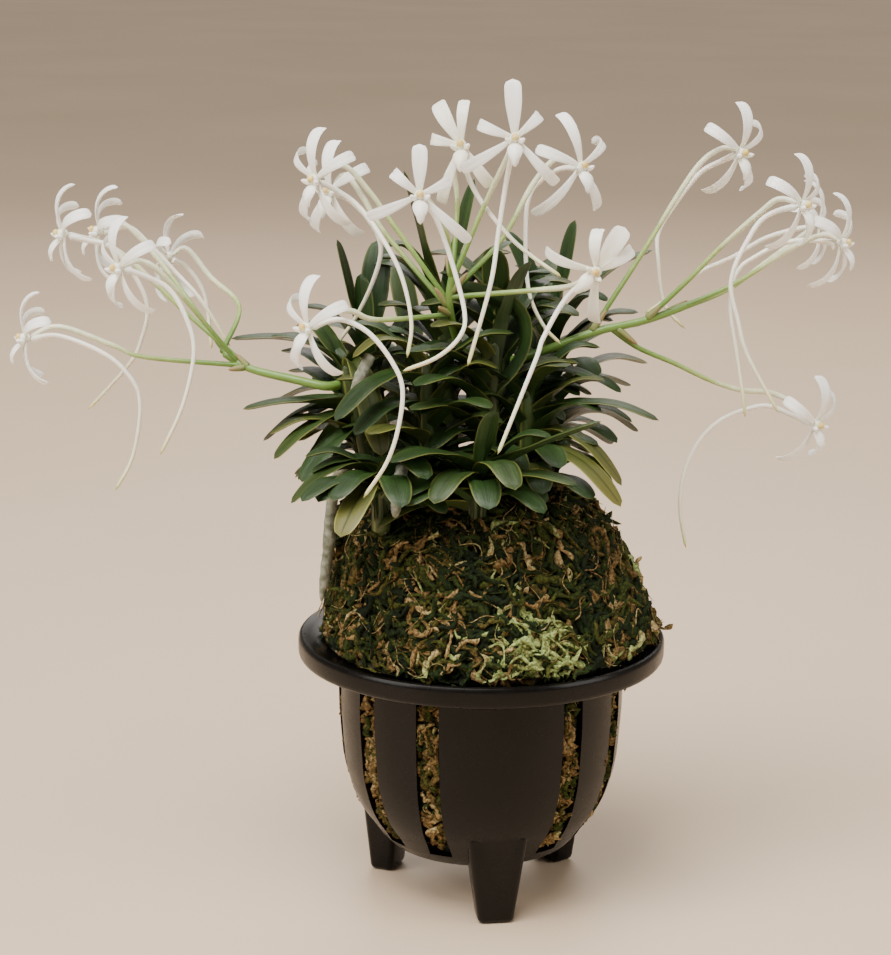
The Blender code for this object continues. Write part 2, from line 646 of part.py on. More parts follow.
bloom("bloom_centre_8", "spike_centre", 0.6, (-47, -42, 172), (-40, -5), 0,
      [(-43, -41, 173), (-38, -42, 174), (-31, -44, 171), (-25, -46, 164), (-22, -48, 157), (-23, -50, 147),
       (-26, -52, 138), (-32, -54, 129)],
      [(-42, -37, 175), (-36, -34, 175), (-29, -30, 172)])

peduncle("spike_right", [(7.2, 7.4, 154), (14, 2, 157), (22, 0, 160.5), (32, 1, 164), (46, 3, 167), (60, 5, 172)],
         [(0.46, (34, 1, 170)), (0.72, (50, 2, 172)), (0.82, (57, 6, 172)), (0.58, (43, 1, 160))])
bloom("bloom_right_1", "spike_right", 0.46, (71, 12, 213), (35, -15), 0,
      [(66, 15, 210), (60, 17, 206), (52, 17, 195), (49, 16, 189), (49, 14, 183), (51, 12, 170), (57, 10, 163)],
      [(66, 12, 214), (60, 11, 210), (53, 9, 200), (45, 6, 187)])
bloom("bloom_right_2", "spike_right", 0.72, (86, -8, 201), (45, -10), 0,
      [(80, -6, 199), (75, -6, 196), (71, -8, 190), (68, -10, 184), (67, -11, 178), (69, -12, 170), (72, -13, 160),
       (81, -14, 144)],
      [(80, -5, 202), (75, -4, 198), (65, -1, 188), (57, 1, 179)])
bloom("bloom_right_3", "spike_right", 0.88, (99, 4, 189), (60, -10), 0,
      [(92, 7, 189), (84, 9, 188), (76, 9, 184), (71, 8, 180), (69, 7, 171), (71, 5, 158), (73, 3, 146),
       (74, 3, 139)],
      [(94, 4, 191), (85, 4, 187), (70, 5, 177)])
bloom("bloom_right_4", "spike_right", 0.8, (96, 26, 191), (65, 0), 0,
      [(90, 30, 189), (81, 31, 186), (72, 29, 181), (62, 25, 177), (54, 21, 171), (46, 18, 166)],
      [(90, 25, 187), (80, 22, 180), (68, 15, 173)], 0.95)
bloom("bloom_right_5", "spike_right", 0.56, (95, 10, 136), (40, -20), 0,
      [(88, 13, 138), (82, 15, 140), (76, 15, 139), (68, 13, 136), (62, 12, 130), (58, 11, 121), (57, 10, 111),
       (59, 9, 99)],
      [(90, 9, 141), (82, 9, 145), (73, 8, 146), (64, 7, 149), (54, 5, 154), (43, 3, 159)])

for spike, pieces in spikes.items():
    finish(fuse(spike, pieces), spike_green)


# roots
def root(name, knots, radius, count):
    route = smooth_route(knots, count)
    finish(tube(name, route, [radius] * (count - 1) + [radius * 0.6], 1, plant), silver)


root("root_left", [(-38, -21, 131), (-41, -20, 126), (-43.5, -19, 118), (-45, -19, 105), (-48, -18, 90)], 1.7, 7)
root("root_upper", [(-31, -21, 161), (-34, -23, 155), (-36, -24, 148)], 1.6, 4)
root("root_front", [(-22, -35, 134), (-23, -41, 129), (-24, -44, 121)], 1.7, 4)
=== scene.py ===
"""Looks of the wind orchid in its slotted black pot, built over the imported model.

Tables are in millimetres from the pot's axis at floor level: x to the right, y away from the front, z up.
"""

import math
import random

import bmesh
import bpy
import numpy as np
from mathutils import Matrix, Vector, noise


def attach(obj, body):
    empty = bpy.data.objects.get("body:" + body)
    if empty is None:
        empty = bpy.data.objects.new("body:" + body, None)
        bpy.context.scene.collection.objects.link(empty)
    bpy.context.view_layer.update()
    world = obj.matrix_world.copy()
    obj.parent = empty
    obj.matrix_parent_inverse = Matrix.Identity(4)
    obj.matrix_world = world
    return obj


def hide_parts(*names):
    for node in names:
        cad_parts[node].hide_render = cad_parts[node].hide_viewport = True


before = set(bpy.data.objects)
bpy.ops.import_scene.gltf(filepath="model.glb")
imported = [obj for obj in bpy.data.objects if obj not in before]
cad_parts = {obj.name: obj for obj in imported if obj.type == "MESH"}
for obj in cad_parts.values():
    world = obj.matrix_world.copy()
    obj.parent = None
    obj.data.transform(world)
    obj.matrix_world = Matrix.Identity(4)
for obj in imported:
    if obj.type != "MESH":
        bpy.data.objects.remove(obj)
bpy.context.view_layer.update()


# Camera, floor and light
# The camera stands a little above the plant and looks slightly down at it, as the photograph's does.
# The floor is a plain pale sheet, lit by four broad soft lamps, one even light and a faint warm sky.
MM = 0.001
POT_AXIS = Vector((14.4, -6.0, 0.0))
LOOK_AT = Vector((-10.6, 0.0, 121.7))
CAMERA_DISTANCE = 700.0
CAMERA_RISE_DEG = 13.5
CAMERA_ROLL_DEG = 0.45
CAMERA_LENS = 93.2
LAMP_AIM = Vector((0.0, 0.0, 0.12))
LAMP_TINT = (1.0, 0.96, 0.90)
FLOOR_SIZE = 12.0


def to_frame(spot):
    """A point of the tables in the model's metres."""
    return (Vector(spot) + POT_AXIS) * MM


def surface(name, **sockets):
    """A new material, with the shader's own values given by name."""
    material = bpy.data.materials.new(name)
    material.use_nodes = True
    shader = material.node_tree.nodes["Principled BSDF"]
    for socket, value in sockets.items():
        shader.inputs[socket.replace("_", " ").title().replace("Ior", "IOR")].default_value = value
    return material


def node(material, kind, inputs=(), **settings):
    """A node in a material; each input is a value or the socket that feeds it."""
    made = material.node_tree.nodes.new(kind)
    for key, value in settings.items():
        setattr(made, key, value)
    for socket, source in dict(inputs).items():
        if isinstance(source, bpy.types.NodeSocket):
            material.node_tree.links.new(source, made.inputs[socket])
        else:
            made.inputs[socket].default_value = source
    return made


def feed(material, socket, source):
    """Lets a socket of a node drive one of the shader's inputs."""
    shader = material.node_tree.nodes["Principled BSDF"]
    material.node_tree.links.new(source, shader.inputs[socket])


def ramp(material, factor, stops):
    """A colour ramp over a factor; stops are (place, colour)."""
    made = node(material, "ShaderNodeValToRGB", {"Fac": factor})
    while len(made.color_ramp.elements) < len(stops):
        made.color_ramp.elements.new(0.5)
    for element, (place, colour) in zip(made.color_ramp.elements, stops):
        element.position = place
        element.color = (*colour, 1.0)
    return made.outputs["Color"]


def coloured(material, factor, stops):
    """Gives a material the colours of a ramp."""
    feed(material, "Base Color", ramp(material, factor, stops))


def grain(material, scale, detail=4.0, vector=None):
    """Noise over the object, in cycles per metre, or over a vector that is given."""
    if vector is None:
        vector = node(material, "ShaderNodeTexCoord").outputs["Object"]
    return node(material, "ShaderNodeTexNoise",
                {"Vector": vector, "Scale": scale, "Detail": detail}).outputs["Fac"]


rise = math.radians(CAMERA_RISE_DEG)
roll = math.radians(CAMERA_ROLL_DEG)
ahead = Vector((0.0, math.cos(rise), -math.sin(rise)))
upward = Vector((0.0, math.sin(rise), math.cos(rise)))
rightward = Vector((1.0, 0.0, 0.0))
camera = bpy.data.objects.new("camera", bpy.data.cameras.new("camera"))
camera.data.lens = CAMERA_LENS
camera.data.sensor_width = 36.0
camera.data.clip_start = 0.01
axes = Matrix((rightward * math.cos(roll) + upward * math.sin(roll),
               upward * math.cos(roll) - rightward * math.sin(roll), -ahead)).transposed()
camera.matrix_world = Matrix.Translation(to_frame(LOOK_AT - ahead * CAMERA_DISTANCE)) @ axes.to_4x4()
bpy.context.scene.collection.objects.link(camera)
bpy.context.scene.camera = camera

for name, spot, size, power in (
        ("lamp_above", (-0.20, -0.40, 1.15), 0.7, 22.0),
        ("lamp_left", (-1.0, -0.6, 0.7), 0.7, 10.0),
        ("lamp_right", (1.1, -0.5, 0.6), 0.7, 7.0),
        ("lamp_behind", (0.1, 1.0, 0.9), 0.8, 8.0)):
    lamp = bpy.data.objects.new(name, bpy.data.lights.new(name, "AREA"))
    lamp.data.size = size
    lamp.data.energy = power
    lamp.data.color = LAMP_TINT
    lamp.location = spot
    lamp.rotation_mode = "QUATERNION"
    lamp.rotation_quaternion = (LAMP_AIM - Vector(spot)).to_track_quat("-Z", "Y")
    bpy.context.scene.collection.objects.link(lamp)

sky = bpy.data.objects.new("lamp_even", bpy.data.lights.new("lamp_even", "SUN"))
sky.data.energy = 1.5
sky.data.angle = 0.9
sky.data.color = LAMP_TINT
sky.rotation_euler = (math.radians(28.0), math.radians(-18.0), 0.0)
bpy.context.scene.collection.objects.link(sky)

world = bpy.data.worlds.new("studio")
world.use_nodes = True
world.node_tree.nodes["Background"].inputs["Color"].default_value = (0.92, 0.84, 0.74, 1.0)
world.node_tree.nodes["Background"].inputs["Strength"].default_value = 0.30
bpy.context.scene.world = world

bm = bmesh.new()
bmesh.ops.create_grid(bm, x_segments=1, y_segments=1, size=FLOOR_SIZE)
floor = bpy.data.objects.new("floor", bpy.data.meshes.new("floor"))
bm.to_mesh(floor.data)
bm.free()
bpy.context.scene.collection.objects.link(floor)
pale = surface("pale_floor", roughness=0.55)
coloured(pale, grain(pale, 3.0), [(0.3, (0.58, 0.44, 0.31)), (0.7, (0.62, 0.48, 0.35))])
floor.data.materials.append(pale)


# Pot
# One moulded black plastic pot: dished flange with a rounded rim, tapered wall with nine upright slots, and
# three tapered legs. It is turned about its axis, the legs are joined on, and its hollow is cut out.
RIM_RADIUS = 52.5
FLANGE_TOP = 74.4
RIM_UNDERSIDE = 70.2
MOUTH_RADIUS = 38.6
BASE_UNDERSIDE = 15.0
BASE_TOP = 17.4
RIM_SECTION = ((46.5, FLANGE_TOP), (48.0, 74.8), (49.6, 75.6), (50.8, 76.3), (51.4, 76.45), (52.0, 76.2),
               (52.4, 75.6), (RIM_RADIUS, 74.8), (RIM_RADIUS, 71.9), (52.3, 71.0), (51.9, 70.5),
               (51.2, RIM_UNDERSIDE), (41.8, RIM_UNDERSIDE))
WALL_OUTER = ((40.8, 69.2), (40.9, 60.0), (40.8, 55.0), (40.3, 48.0), (39.7, 41.0), (38.9, 36.8),
              (37.8, 33.0), (36.8, 30.0), (35.4, 27.0), (33.9, 24.5), (32.0, 22.0), (29.6, 18.4),
              (27.0, 15.6), (26.0, BASE_UNDERSIDE))
WALL_INNER = ((MOUTH_RADIUS, 70.0), (MOUTH_RADIUS, 55.0), (37.5, 41.0), (35.7, 33.6), (33.4, 28.2),
              (30.2, 23.6), (25.4, BASE_TOP))
MOUTH_SECTION = ((0.0, 90.0), (40.2, 90.0), (40.0, 75.2), (39.2, 74.2), (MOUTH_RADIUS, 73.4))
DRAIN_RADIUS = 6.0
DRAIN_DEPTH = 10.0
LEG_COUNT = 3
LEG_FIRST_DEG = 8.3
# Each end of a leg gives its height, inner radius, outer radius and width.
LEG_FOOT = (0.0, 25.4, 32.7, 10.0)
LEG_HEAD = (27.0, 23.0, 34.3, 17.5)
LEG_ROUNDING = 1.6
SLOT_POSITIONS = 12
SLOTS_PER_LEG = 4
SLOT_ENDS = (18.6, 69.0)
SLOT_DEPTH = (25.5, 50.0)
SLOT_WIDTH = 6.8
TURN_STEPS = 96


def around(angle_deg, radius, side, height):
    """A point at an angle about the pot's axis, counted from the front toward the right."""
    angle = math.radians(angle_deg)
    out = Vector((math.sin(angle), -math.cos(angle), 0.0))
    along = Vector((math.cos(angle), math.sin(angle), 0.0))
    return out * radius + along * side + Vector((0.0, 0.0, height))


def turned(profile):
    """A solid turned about the pot's axis from a profile that starts and ends on the axis."""
    bm = bmesh.new()
    verts = [bm.verts.new((r, 0.0, z)) for r, z in profile]
    edges = [bm.edges.new(pair) for pair in zip(verts, verts[1:])]
    bmesh.ops.spin(bm, geom=verts + edges, axis=(0, 0, 1), cent=(0, 0, 0), angle=math.tau, steps=TURN_STEPS,
                   use_merge=True)
    bmesh.ops.remove_doubles(bm, verts=bm.verts, dist=0.001)
    bmesh.ops.recalc_face_normals(bm, faces=bm.faces)
    return bm


def radial_block(bm, angle_deg, lower, upper, rounding=0.0):
    """A block between two levels; each level gives height, inner radius, outer radius and width."""
    verts = bmesh.ops.create_cube(bm, size=2.0)["verts"]
    for vert in verts:
        height, inner, outer, width = upper if vert.co.z > 0 else lower
        radius = outer if vert.co.x > 0 else inner
        vert.co = around(angle_deg, radius, math.copysign(width / 2, vert.co.y), height)
    bmesh.ops.recalc_face_normals(bm, faces=bm.faces)
    if rounding:
        bmesh.ops.bevel(bm, geom=bm.edges[:], offset=rounding, offset_type="OFFSET", segments=4, profile=0.5,
                        affect="EDGES", material=-1)


def plain_object(name, bm):
    """An object from a bmesh in the tables' millimetres, moved to its place in the model."""
    for vert in bm.verts:
        vert.co = to_frame(vert.co)
    mesh = bpy.data.meshes.new(name)
    bm.to_mesh(mesh)
    bm.free()
    obj = bpy.data.objects.new(name, mesh)
    bpy.context.scene.collection.objects.link(obj)
    return obj


def applied(obj):
    """Makes an object's modifiers part of its mesh."""
    mesh = bpy.data.meshes.new_from_object(obj.evaluated_get(bpy.context.evaluated_depsgraph_get()))
    obj.modifiers.clear()
    obj.data = mesh
    return obj


def combined(obj, operation, shapes):
    """One Boolean step with each of the shapes, applied; the shapes are then removed."""
    for shape in shapes:
        step = obj.modifiers.new("step", "BOOLEAN")
        step.operation = operation
        step.solver = "MANIFOLD"
        step.object = shape
        applied(obj)
        bpy.data.objects.remove(shape)
    return obj


def settled(piece, slot, *nodes, materials, sharp_deg=40.0):
    """The last steps of a piece: materials, soft shading, the root body, and hiding the parts it replaces."""
    for place, material in enumerate(materials):
        if place < len(piece.data.materials):
            piece.data.materials[place] = material
        else:
            piece.data.materials.append(material)
    piece.data.shade_smooth()
    piece.data.set_sharp_from_angle(angle=math.radians(sharp_deg))
    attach(piece, "root")
    if nodes:
        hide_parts(*nodes)
    return piece


def relief(material, height, depth, strength=1.0):
    """A bump of the given depth in metres."""
    bump = node(material, "ShaderNodeBump", {"Height": height, "Distance": depth, "Strength": strength})
    feed(material, "Normal", bump.outputs["Normal"])


def span(material, value, from_min, from_max, to_min, to_max):
    """A value carried from one range to another."""
    ends = {"From Min": from_min, "From Max": from_max, "To Min": to_min, "To Max": to_max}
    return node(material, "ShaderNodeMapRange", {"Value": value} | ends).outputs["Result"]


black_plastic = surface("black_plastic", specular_ior_level=0.2)
coloured(black_plastic, grain(black_plastic, 60.0, 6.0),
         [(0.3, (0.0014, 0.0011, 0.0010)), (0.75, (0.0030, 0.0023, 0.0019))])
feed(black_plastic, "Roughness", span(black_plastic, grain(black_plastic, 140.0, 8.0), 0.3, 0.7, 0.22, 0.34))
relief(black_plastic, grain(black_plastic, 900.0, 3.0), 0.00003, 0.5)

pot = plain_object("pot_black", turned([(0.0, FLANGE_TOP), *RIM_SECTION, *WALL_OUTER, (0.0, BASE_UNDERSIDE)]))
legs = []
for k in range(LEG_COUNT):
    bm = bmesh.new()
    radial_block(bm, LEG_FIRST_DEG + 360 / LEG_COUNT * k, LEG_FOOT, LEG_HEAD, LEG_ROUNDING)
    legs.append(plain_object("leg", bm))
combined(pot, "UNION", legs)
hollow = turned([*MOUTH_SECTION, *WALL_INNER, (0.0, BASE_TOP)])
slot_angles = [LEG_FIRST_DEG + 360 / SLOT_POSITIONS * k for k in range(SLOT_POSITIONS) if k % SLOTS_PER_LEG]
slots = []
for angle in slot_angles:
    bm = bmesh.new()
    radial_block(bm, angle, *((height, *SLOT_DEPTH, SLOT_WIDTH) for height in SLOT_ENDS))
    slots.append(plain_object("slot", bm))
bm = bmesh.new()
bmesh.ops.create_cone(bm, cap_ends=True, segments=32, radius1=DRAIN_RADIUS, radius2=DRAIN_RADIUS,
                      depth=DRAIN_DEPTH, matrix=Matrix.Translation((0.0, 0.0, BASE_UNDERSIDE)))
combined(pot, "DIFFERENCE", [plain_object("hollow", hollow)] + slots + [plain_object("drain", bm)])
settled(pot, "pot_black", "pot", materials=[black_plastic], sharp_deg=30.0)


# Moss
# A ball of matted moss that fills the pot, shows in its slots and stands as a mound above the rim. A dark
# body carries three layers of scaly strands, dry brown ones and green ones, with fine fibres on top.
MOUND_PROFILE = ((45.8, 76.0), (45.8, 79.0), (44.5, 86.0), (41.2, 98.0), (38.4, 106.0), (35.0, 112.0),
                 (30.0, 117.0), (21.8, 120.0), (11.0, 121.2), (0.3, 121.6))
LEAN_FROM = 78.0
CORE_DEPTH = 1.6
STRAND_SIDES = 5
STRAND_ROWS = 12
MOUTH_EDGE = 39.0
MOUND_EDGE = 47.0
STRAND_LIMIT = 54.0
ANY_HEIGHT = -100.0
RIM_REST = 77.0
# Each layer gives its count, height off the mound, strand radius, strand length and the chance of each tone.
TONES = (0.08, 0.28, 0.46, 0.64, 0.82)
MOSS_LAYERS = ((1150, -0.7, 1.25, 15.0, (0.50, 0.32, 0.12, 0.04, 0.02)),
               (1100, 0.1, 1.1, 14.0, (0.30, 0.32, 0.20, 0.12, 0.06)),
               (1250, 0.8, 0.78, 9.5, (0.20, 0.26, 0.22, 0.17, 0.15)))
SLOT_TONES = (0.30, 0.48, 0.58, 0.66, 0.76)
STRANDS_PER_SLOT = 85
FIBRE_COUNT = 420


def mound_shift(height):
    """The mound leans to the left with height."""
    return 3.0 - 7.5 * np.clip((height - LEAN_FROM) / 38.0, 0.0, 1.0)


def mound_at(share, turn):
    """Points on the mound, its outward direction and the two directions along its face."""
    radii, heights = (np.array(column) for column in zip(*MOUND_PROFILE))
    reach = np.concatenate([[0.0], np.cumsum(np.hypot(np.diff(radii), np.diff(heights)))])
    goal = share * reach[-1]
    r, z = np.interp(goal, reach, radii), np.interp(goal, reach, heights)
    r2, z2 = np.interp(goal + 0.5, reach, radii), np.interp(goal + 0.5, reach, heights)
    r1, z1 = np.interp(goal - 0.5, reach, radii), np.interp(goal - 0.5, reach, heights)
    length = np.hypot(r2 - r1, z2 - z1)
    dr, dz = (r2 - r1) / length, (z2 - z1) / length
    out = np.stack([np.sin(turn), -np.cos(turn), np.zeros_like(turn)], -1)
    level = np.stack([np.cos(turn), np.sin(turn), np.zeros_like(turn)], -1)
    lift = np.array([0.0, 0.0, 1.0])
    spot = out * r[:, None] + lift * z[:, None]
    spot[:, 0] += mound_shift(z)
    face_up = out * dr[:, None] + lift * dz[:, None]
    normal = out * dz[:, None] - lift * dr[:, None]
    return spot, normal, level, face_up


def strands(name, spot, outward, heading, length, radius, bow, curl, tone, scaly, seed):
    """Many tapering strands in one mesh. Each is a small grid wrapped round its own curved line."""
    bm = bmesh.new()
    bmesh.ops.create_grid(bm, x_segments=STRAND_SIDES, y_segments=STRAND_ROWS, size=1.0)
    mesh = bpy.data.meshes.new(name)
    bm.to_mesh(mesh)
    bm.free()
    grid = np.zeros(len(mesh.vertices) * 3)
    mesh.vertices.foreach_get("co", grid)
    grid = grid.reshape(-1, 3)
    obj = bpy.data.objects.new(name, mesh)
    bpy.context.scene.collection.objects.link(obj)
    repeat = obj.modifiers.new("repeat", "ARRAY")
    repeat.count = len(spot)
    repeat.use_relative_offset = False
    applied(obj)
    draw = np.random.default_rng(seed)
    side_step = np.round((grid[:, 0] + 1) / 2 * STRAND_SIDES).astype(int) % STRAND_SIDES
    row = np.round((grid[:, 1] + 1) / 2 * STRAND_ROWS).astype(int)
    v = row / STRAND_ROWS
    across = np.cross(outward, heading)
    ends = np.minimum(1.0, 3.2 * np.sqrt(np.clip(v * (1 - v), 0.0, 1.0)))
    ends[(row == 0) | (row == STRAND_ROWS)] = 0.0
    phase = draw.uniform(0.0, math.tau, (len(spot), 1))
    knob = 1.0 + scaly * np.where((side_step + row) % 2 == 0, 0.55, -0.3)
    ring = radius[:, None] * ends * knob * (1.15 - 0.5 * v)
    angle = math.tau * side_step / STRAND_SIDES + 0.9 * row + phase
    middle = (spot[:, None] + heading[:, None] * (length[:, None] * (v - 0.5))[..., None]
              + across[:, None] * (bow[:, None] * (4 * v * (1 - v) - 0.5)
                                   + 0.12 * length[:, None] * np.sin(7.0 * v + phase))[..., None]
              + outward[:, None] * (curl[:, None] * v ** 2.5
                                    - (length[:, None] * (v - 0.5)) ** 2 / 90.0)[..., None])
    place = middle + (across[:, None] * (np.cos(angle) * ring)[..., None]
                      + outward[:, None] * (np.sin(angle) * ring)[..., None])
    radial = np.hypot(place[..., 0], place[..., 1])
    rest_on = np.where(radial < MOUND_EDGE, FLANGE_TOP + 0.4, RIM_REST)
    free = (radial < MOUTH_EDGE) | (radial > STRAND_LIMIT) | (place[..., 2] < RIM_UNDERSIDE)
    rest_on = np.where(free, ANY_HEIGHT, rest_on)
    place[..., 2] = np.maximum(place[..., 2], rest_on + 0.3 * (ring > 0))
    place = (place + np.array(POT_AXIS)) * MM
    obj.data.vertices.foreach_set("co", place.reshape(-1))
    for label, values in (("tone", np.repeat(tone, len(grid))), ("along", np.tile(v, len(spot)))):
        layer = obj.data.attributes.new(label, "FLOAT", "POINT")
        layer.data.foreach_set("value", values)
    bm = bmesh.new()
    bm.from_mesh(obj.data)
    bmesh.ops.remove_doubles(bm, verts=bm.verts, dist=0.0000005)
    bmesh.ops.recalc_face_normals(bm, faces=bm.faces)
    bm.to_mesh(obj.data)
    bm.free()
    return obj


def aimed(first, second, slant):
    """Directions turned by an angle from the first toward the second."""
    return first * np.cos(slant)[:, None] + second * np.sin(slant)[:, None]


def attribute(material, label):
    """A value that the mesh holds at each of its points."""
    return node(material, "ShaderNodeAttribute", attribute_name=label).outputs["Fac"]


def product(material, first, second):
    """Two values multiplied."""
    return node(material, "ShaderNodeMath", {0: first, 1: second}, operation="MULTIPLY").outputs[0]


def blend(material, factor, first, second, mode="MIX"):
    """Two colours mixed by a factor."""
    return node(material, "ShaderNodeMix", {"Factor": factor, "A": first, "B": second},
                data_type="RGBA", blend_type=mode).outputs["Result"]


moss_body = surface("moss_body", roughness=0.95)
coloured(moss_body, grain(moss_body, 260.0, 8.0),
         [(0.35, (0.006, 0.008, 0.003)), (0.55, (0.02, 0.022, 0.008)), (0.75, (0.05, 0.038, 0.016))])
relief(moss_body, grain(moss_body, 900.0, 6.0), 0.0012)

moss_strands = surface("moss_strands", roughness=0.85, specular_ior_level=0.2)
# Painted highlight: the strands turn lighter and tanner toward their tips, in patches of noise.
tip_highlight = product(moss_strands, grain(moss_strands, 700.0, 3.0), attribute(moss_strands, "along"))
tone = node(moss_strands, "ShaderNodeMath", {0: tip_highlight, 1: 0.24, 2: attribute(moss_strands, "tone")},
            operation="MULTIPLY_ADD", use_clamp=True).outputs[0]
hue = ramp(moss_strands, tone, [(0.0, (0.004, 0.009, 0.002)), (0.28, (0.014, 0.030, 0.003)),
                                (0.48, (0.055, 0.068, 0.008)), (0.62, (0.12, 0.078, 0.020)),
                                (0.78, (0.27, 0.17, 0.065)), (0.90, (0.44, 0.34, 0.16)),
                                (1.0, (0.36, 0.46, 0.16))])
speckle = ramp(moss_strands, grain(moss_strands, 1400.0, 4.0),
               [(0.38, (0.30, 0.27, 0.22)), (0.62, (1.0, 1.0, 1.0))])
feed(moss_strands, "Base Color", blend(moss_strands, 1.0, hue, speckle, "MULTIPLY"))
relief(moss_strands, grain(moss_strands, 2600.0, 4.0), 0.0003)

core = turned([(0.0, 119.4), (11.0, 119.4)] + [(r - CORE_DEPTH, z - 0.3) for r, z in MOUND_PROFILE[-3:1:-1]]
              + [(45.0, 79.0), (44.5, 74.9), (38.2, 74.9), (38.2, 62.0)]
              + [(r - 0.3, z + 0.1) for r, z in WALL_INNER[1:]] + [(0.0, 17.8)])
upper_edges = [edge for edge in core.edges if min(vert.co.z for vert in edge.verts) > RIM_REST]
bmesh.ops.subdivide_edges(core, edges=upper_edges, cuts=1, use_grid_fill=True)
for vert in core.verts:
    if vert.co.z > 75.5:
        bump = noise.noise(vert.co / 7.0) + 0.8 * noise.noise(vert.co / 3.0)
        out = Vector((vert.co.x, vert.co.y, 0.0))
        if out.length > 25.0:
            vert.co += out.normalized() * bump * 1.6
        vert.co.z += 0.9 * bump
        vert.co.x += float(mound_shift(vert.co.z))
bmesh.ops.recalc_face_normals(core, faces=core.faces)
settled(plain_object("moss_body", core), "moss_green", "moss", materials=[moss_body])

for k, (count, height, width, reach, chances) in enumerate(MOSS_LAYERS):
    draw = np.random.default_rng(40 + k)
    share = draw.uniform(0.0, 0.97, count * 3)
    radii = np.interp(share, np.linspace(0, 1, len(MOUND_PROFILE)), [r for r, z in MOUND_PROFILE])
    share = share[draw.uniform(0.0, 47.0, count * 3) < radii][:count]
    turn = draw.uniform(0.0, math.tau, len(share))
    spot, normal, level, face_up = mound_at(share, turn)
    slant = draw.normal(0.0, 0.9, len(share)) + np.where(draw.random(len(share)) < 0.5, 0.0, math.pi)
    heading = aimed(level, face_up, slant)
    patch = np.array([noise.noise(Vector(p) / 11.0) for p in spot])
    pale_patch = np.exp(-((spot[:, 0] - 12.0) / 11.0) ** 2 - ((spot[:, 2] - 82.0) / 9.0) ** 2)
    pale_patch = pale_patch * (spot[:, 1] < 0)
    tone = np.clip(draw.choice(TONES, len(share), p=chances) + draw.normal(0.0, 0.05, len(share))
                   + 0.25 * patch * (k > 0), 0.0, 0.92)
    tone = np.where(draw.random(len(share)) < 0.75 * pale_patch, 0.97, tone)
    length = reach * draw.uniform(0.45, 1.35, len(share))
    spot = spot + normal * (height + draw.normal(0.0, 0.4, len(share)))[:, None]
    settled(strands(f"moss_strands_{k + 1}", spot, normal, heading, length,
                    width * draw.uniform(0.65, 1.25, len(share)),
                    draw.normal(0.0, 0.16, len(share)) * length,
                    np.maximum(0.0, draw.normal(-0.5, 1.9, len(share))), tone, 1.0, 70 + k),
            "moss_green", materials=[moss_strands], sharp_deg=180.0)

draw = np.random.default_rng(5)
slot_turn, slot_height = [], []
for angle in slot_angles:
    slot_turn.append(math.radians(angle) + draw.uniform(-0.085, 0.085, STRANDS_PER_SLOT))
    slot_height.append(draw.uniform(21.5, 67.0, STRANDS_PER_SLOT))
slot_turn, slot_height = np.concatenate(slot_turn), np.concatenate(slot_height)
wall = np.interp(slot_height, [z for r, z in WALL_OUTER[::-1]], [r for r, z in WALL_OUTER[::-1]])
out = np.stack([np.sin(slot_turn), -np.cos(slot_turn), np.zeros_like(slot_turn)], -1)
level = np.stack([np.cos(slot_turn), np.sin(slot_turn), np.zeros_like(slot_turn)], -1)
slope = np.where(slot_height < 45.0, np.interp(slot_height, [20.0, 45.0], [1.1, 0.0]), 0.0)
upright = np.array([0.0, 0.0, 1.0]) + out * slope[:, None]
upright /= np.linalg.norm(upright, axis=1)[:, None]
heading = aimed(upright, level, draw.normal(0.0, 0.45, len(out)))
normal = np.cross(level, upright)
spot = out * (wall - 1.9 + draw.normal(0.0, 0.5, len(out)))[:, None]
spot[:, 2] = slot_height
settled(strands("moss_in_slots", spot, normal, heading, draw.uniform(3.5, 7.0, len(out)),
                draw.uniform(0.6, 1.05, len(out)), draw.normal(0.0, 0.4, len(out)),
                draw.uniform(-0.2, 0.5, len(out)),
                np.clip(draw.choice(SLOT_TONES, len(out)) + draw.normal(0.0, 0.05, len(out)), 0.0, 0.9),
                1.0, 9),
        "moss_green", materials=[moss_strands], sharp_deg=180.0)

draw = np.random.default_rng(8)
share = draw.uniform(0.0, 0.9, FIBRE_COUNT)
turn = draw.uniform(0.0, math.tau, FIBRE_COUNT)
spot, normal, level, face_up = mound_at(share, turn)
heading = aimed(level, face_up, draw.uniform(0.0, math.tau, FIBRE_COUNT))
settled(strands("moss_fibres", spot + normal * 1.4, normal, heading, draw.uniform(8.0, 17.0, FIBRE_COUNT),
                draw.uniform(0.14, 0.24, FIBRE_COUNT), draw.normal(0.0, 2.2, FIBRE_COUNT),
                draw.uniform(0.0, 3.0, FIBRE_COUNT), draw.uniform(0.5, 0.85, FIBRE_COUNT), 0.1, 10),
        "moss_green", materials=[moss_strands], sharp_deg=180.0)


# Leafy stems
# Fans of thick strap leaves. Each leaf clasps the stem with a folded base, opens out of its V toward the
# rounded tip, and has a groove above and a keel below. Old leaves turn yellow-olive at their edges.
LEAF_WIDTH = 8.4
LEAF_THICKNESS = 1.15
FOLD_BASE_DEG = 62.0
FOLD_TIP_DEG = 9.0
STEM_RADIUS = 2.6
SOFT_EDGE_DEG = 60.0
MOUND_TOP = 121.0
FRONT_SHOOT_LIMIT = -5
FRONT_LEAVES = ((0.5, -48.0), (2.0, -132.0), (4.5, -85.0), (7.0, -115.0), (8.5, -62.0))


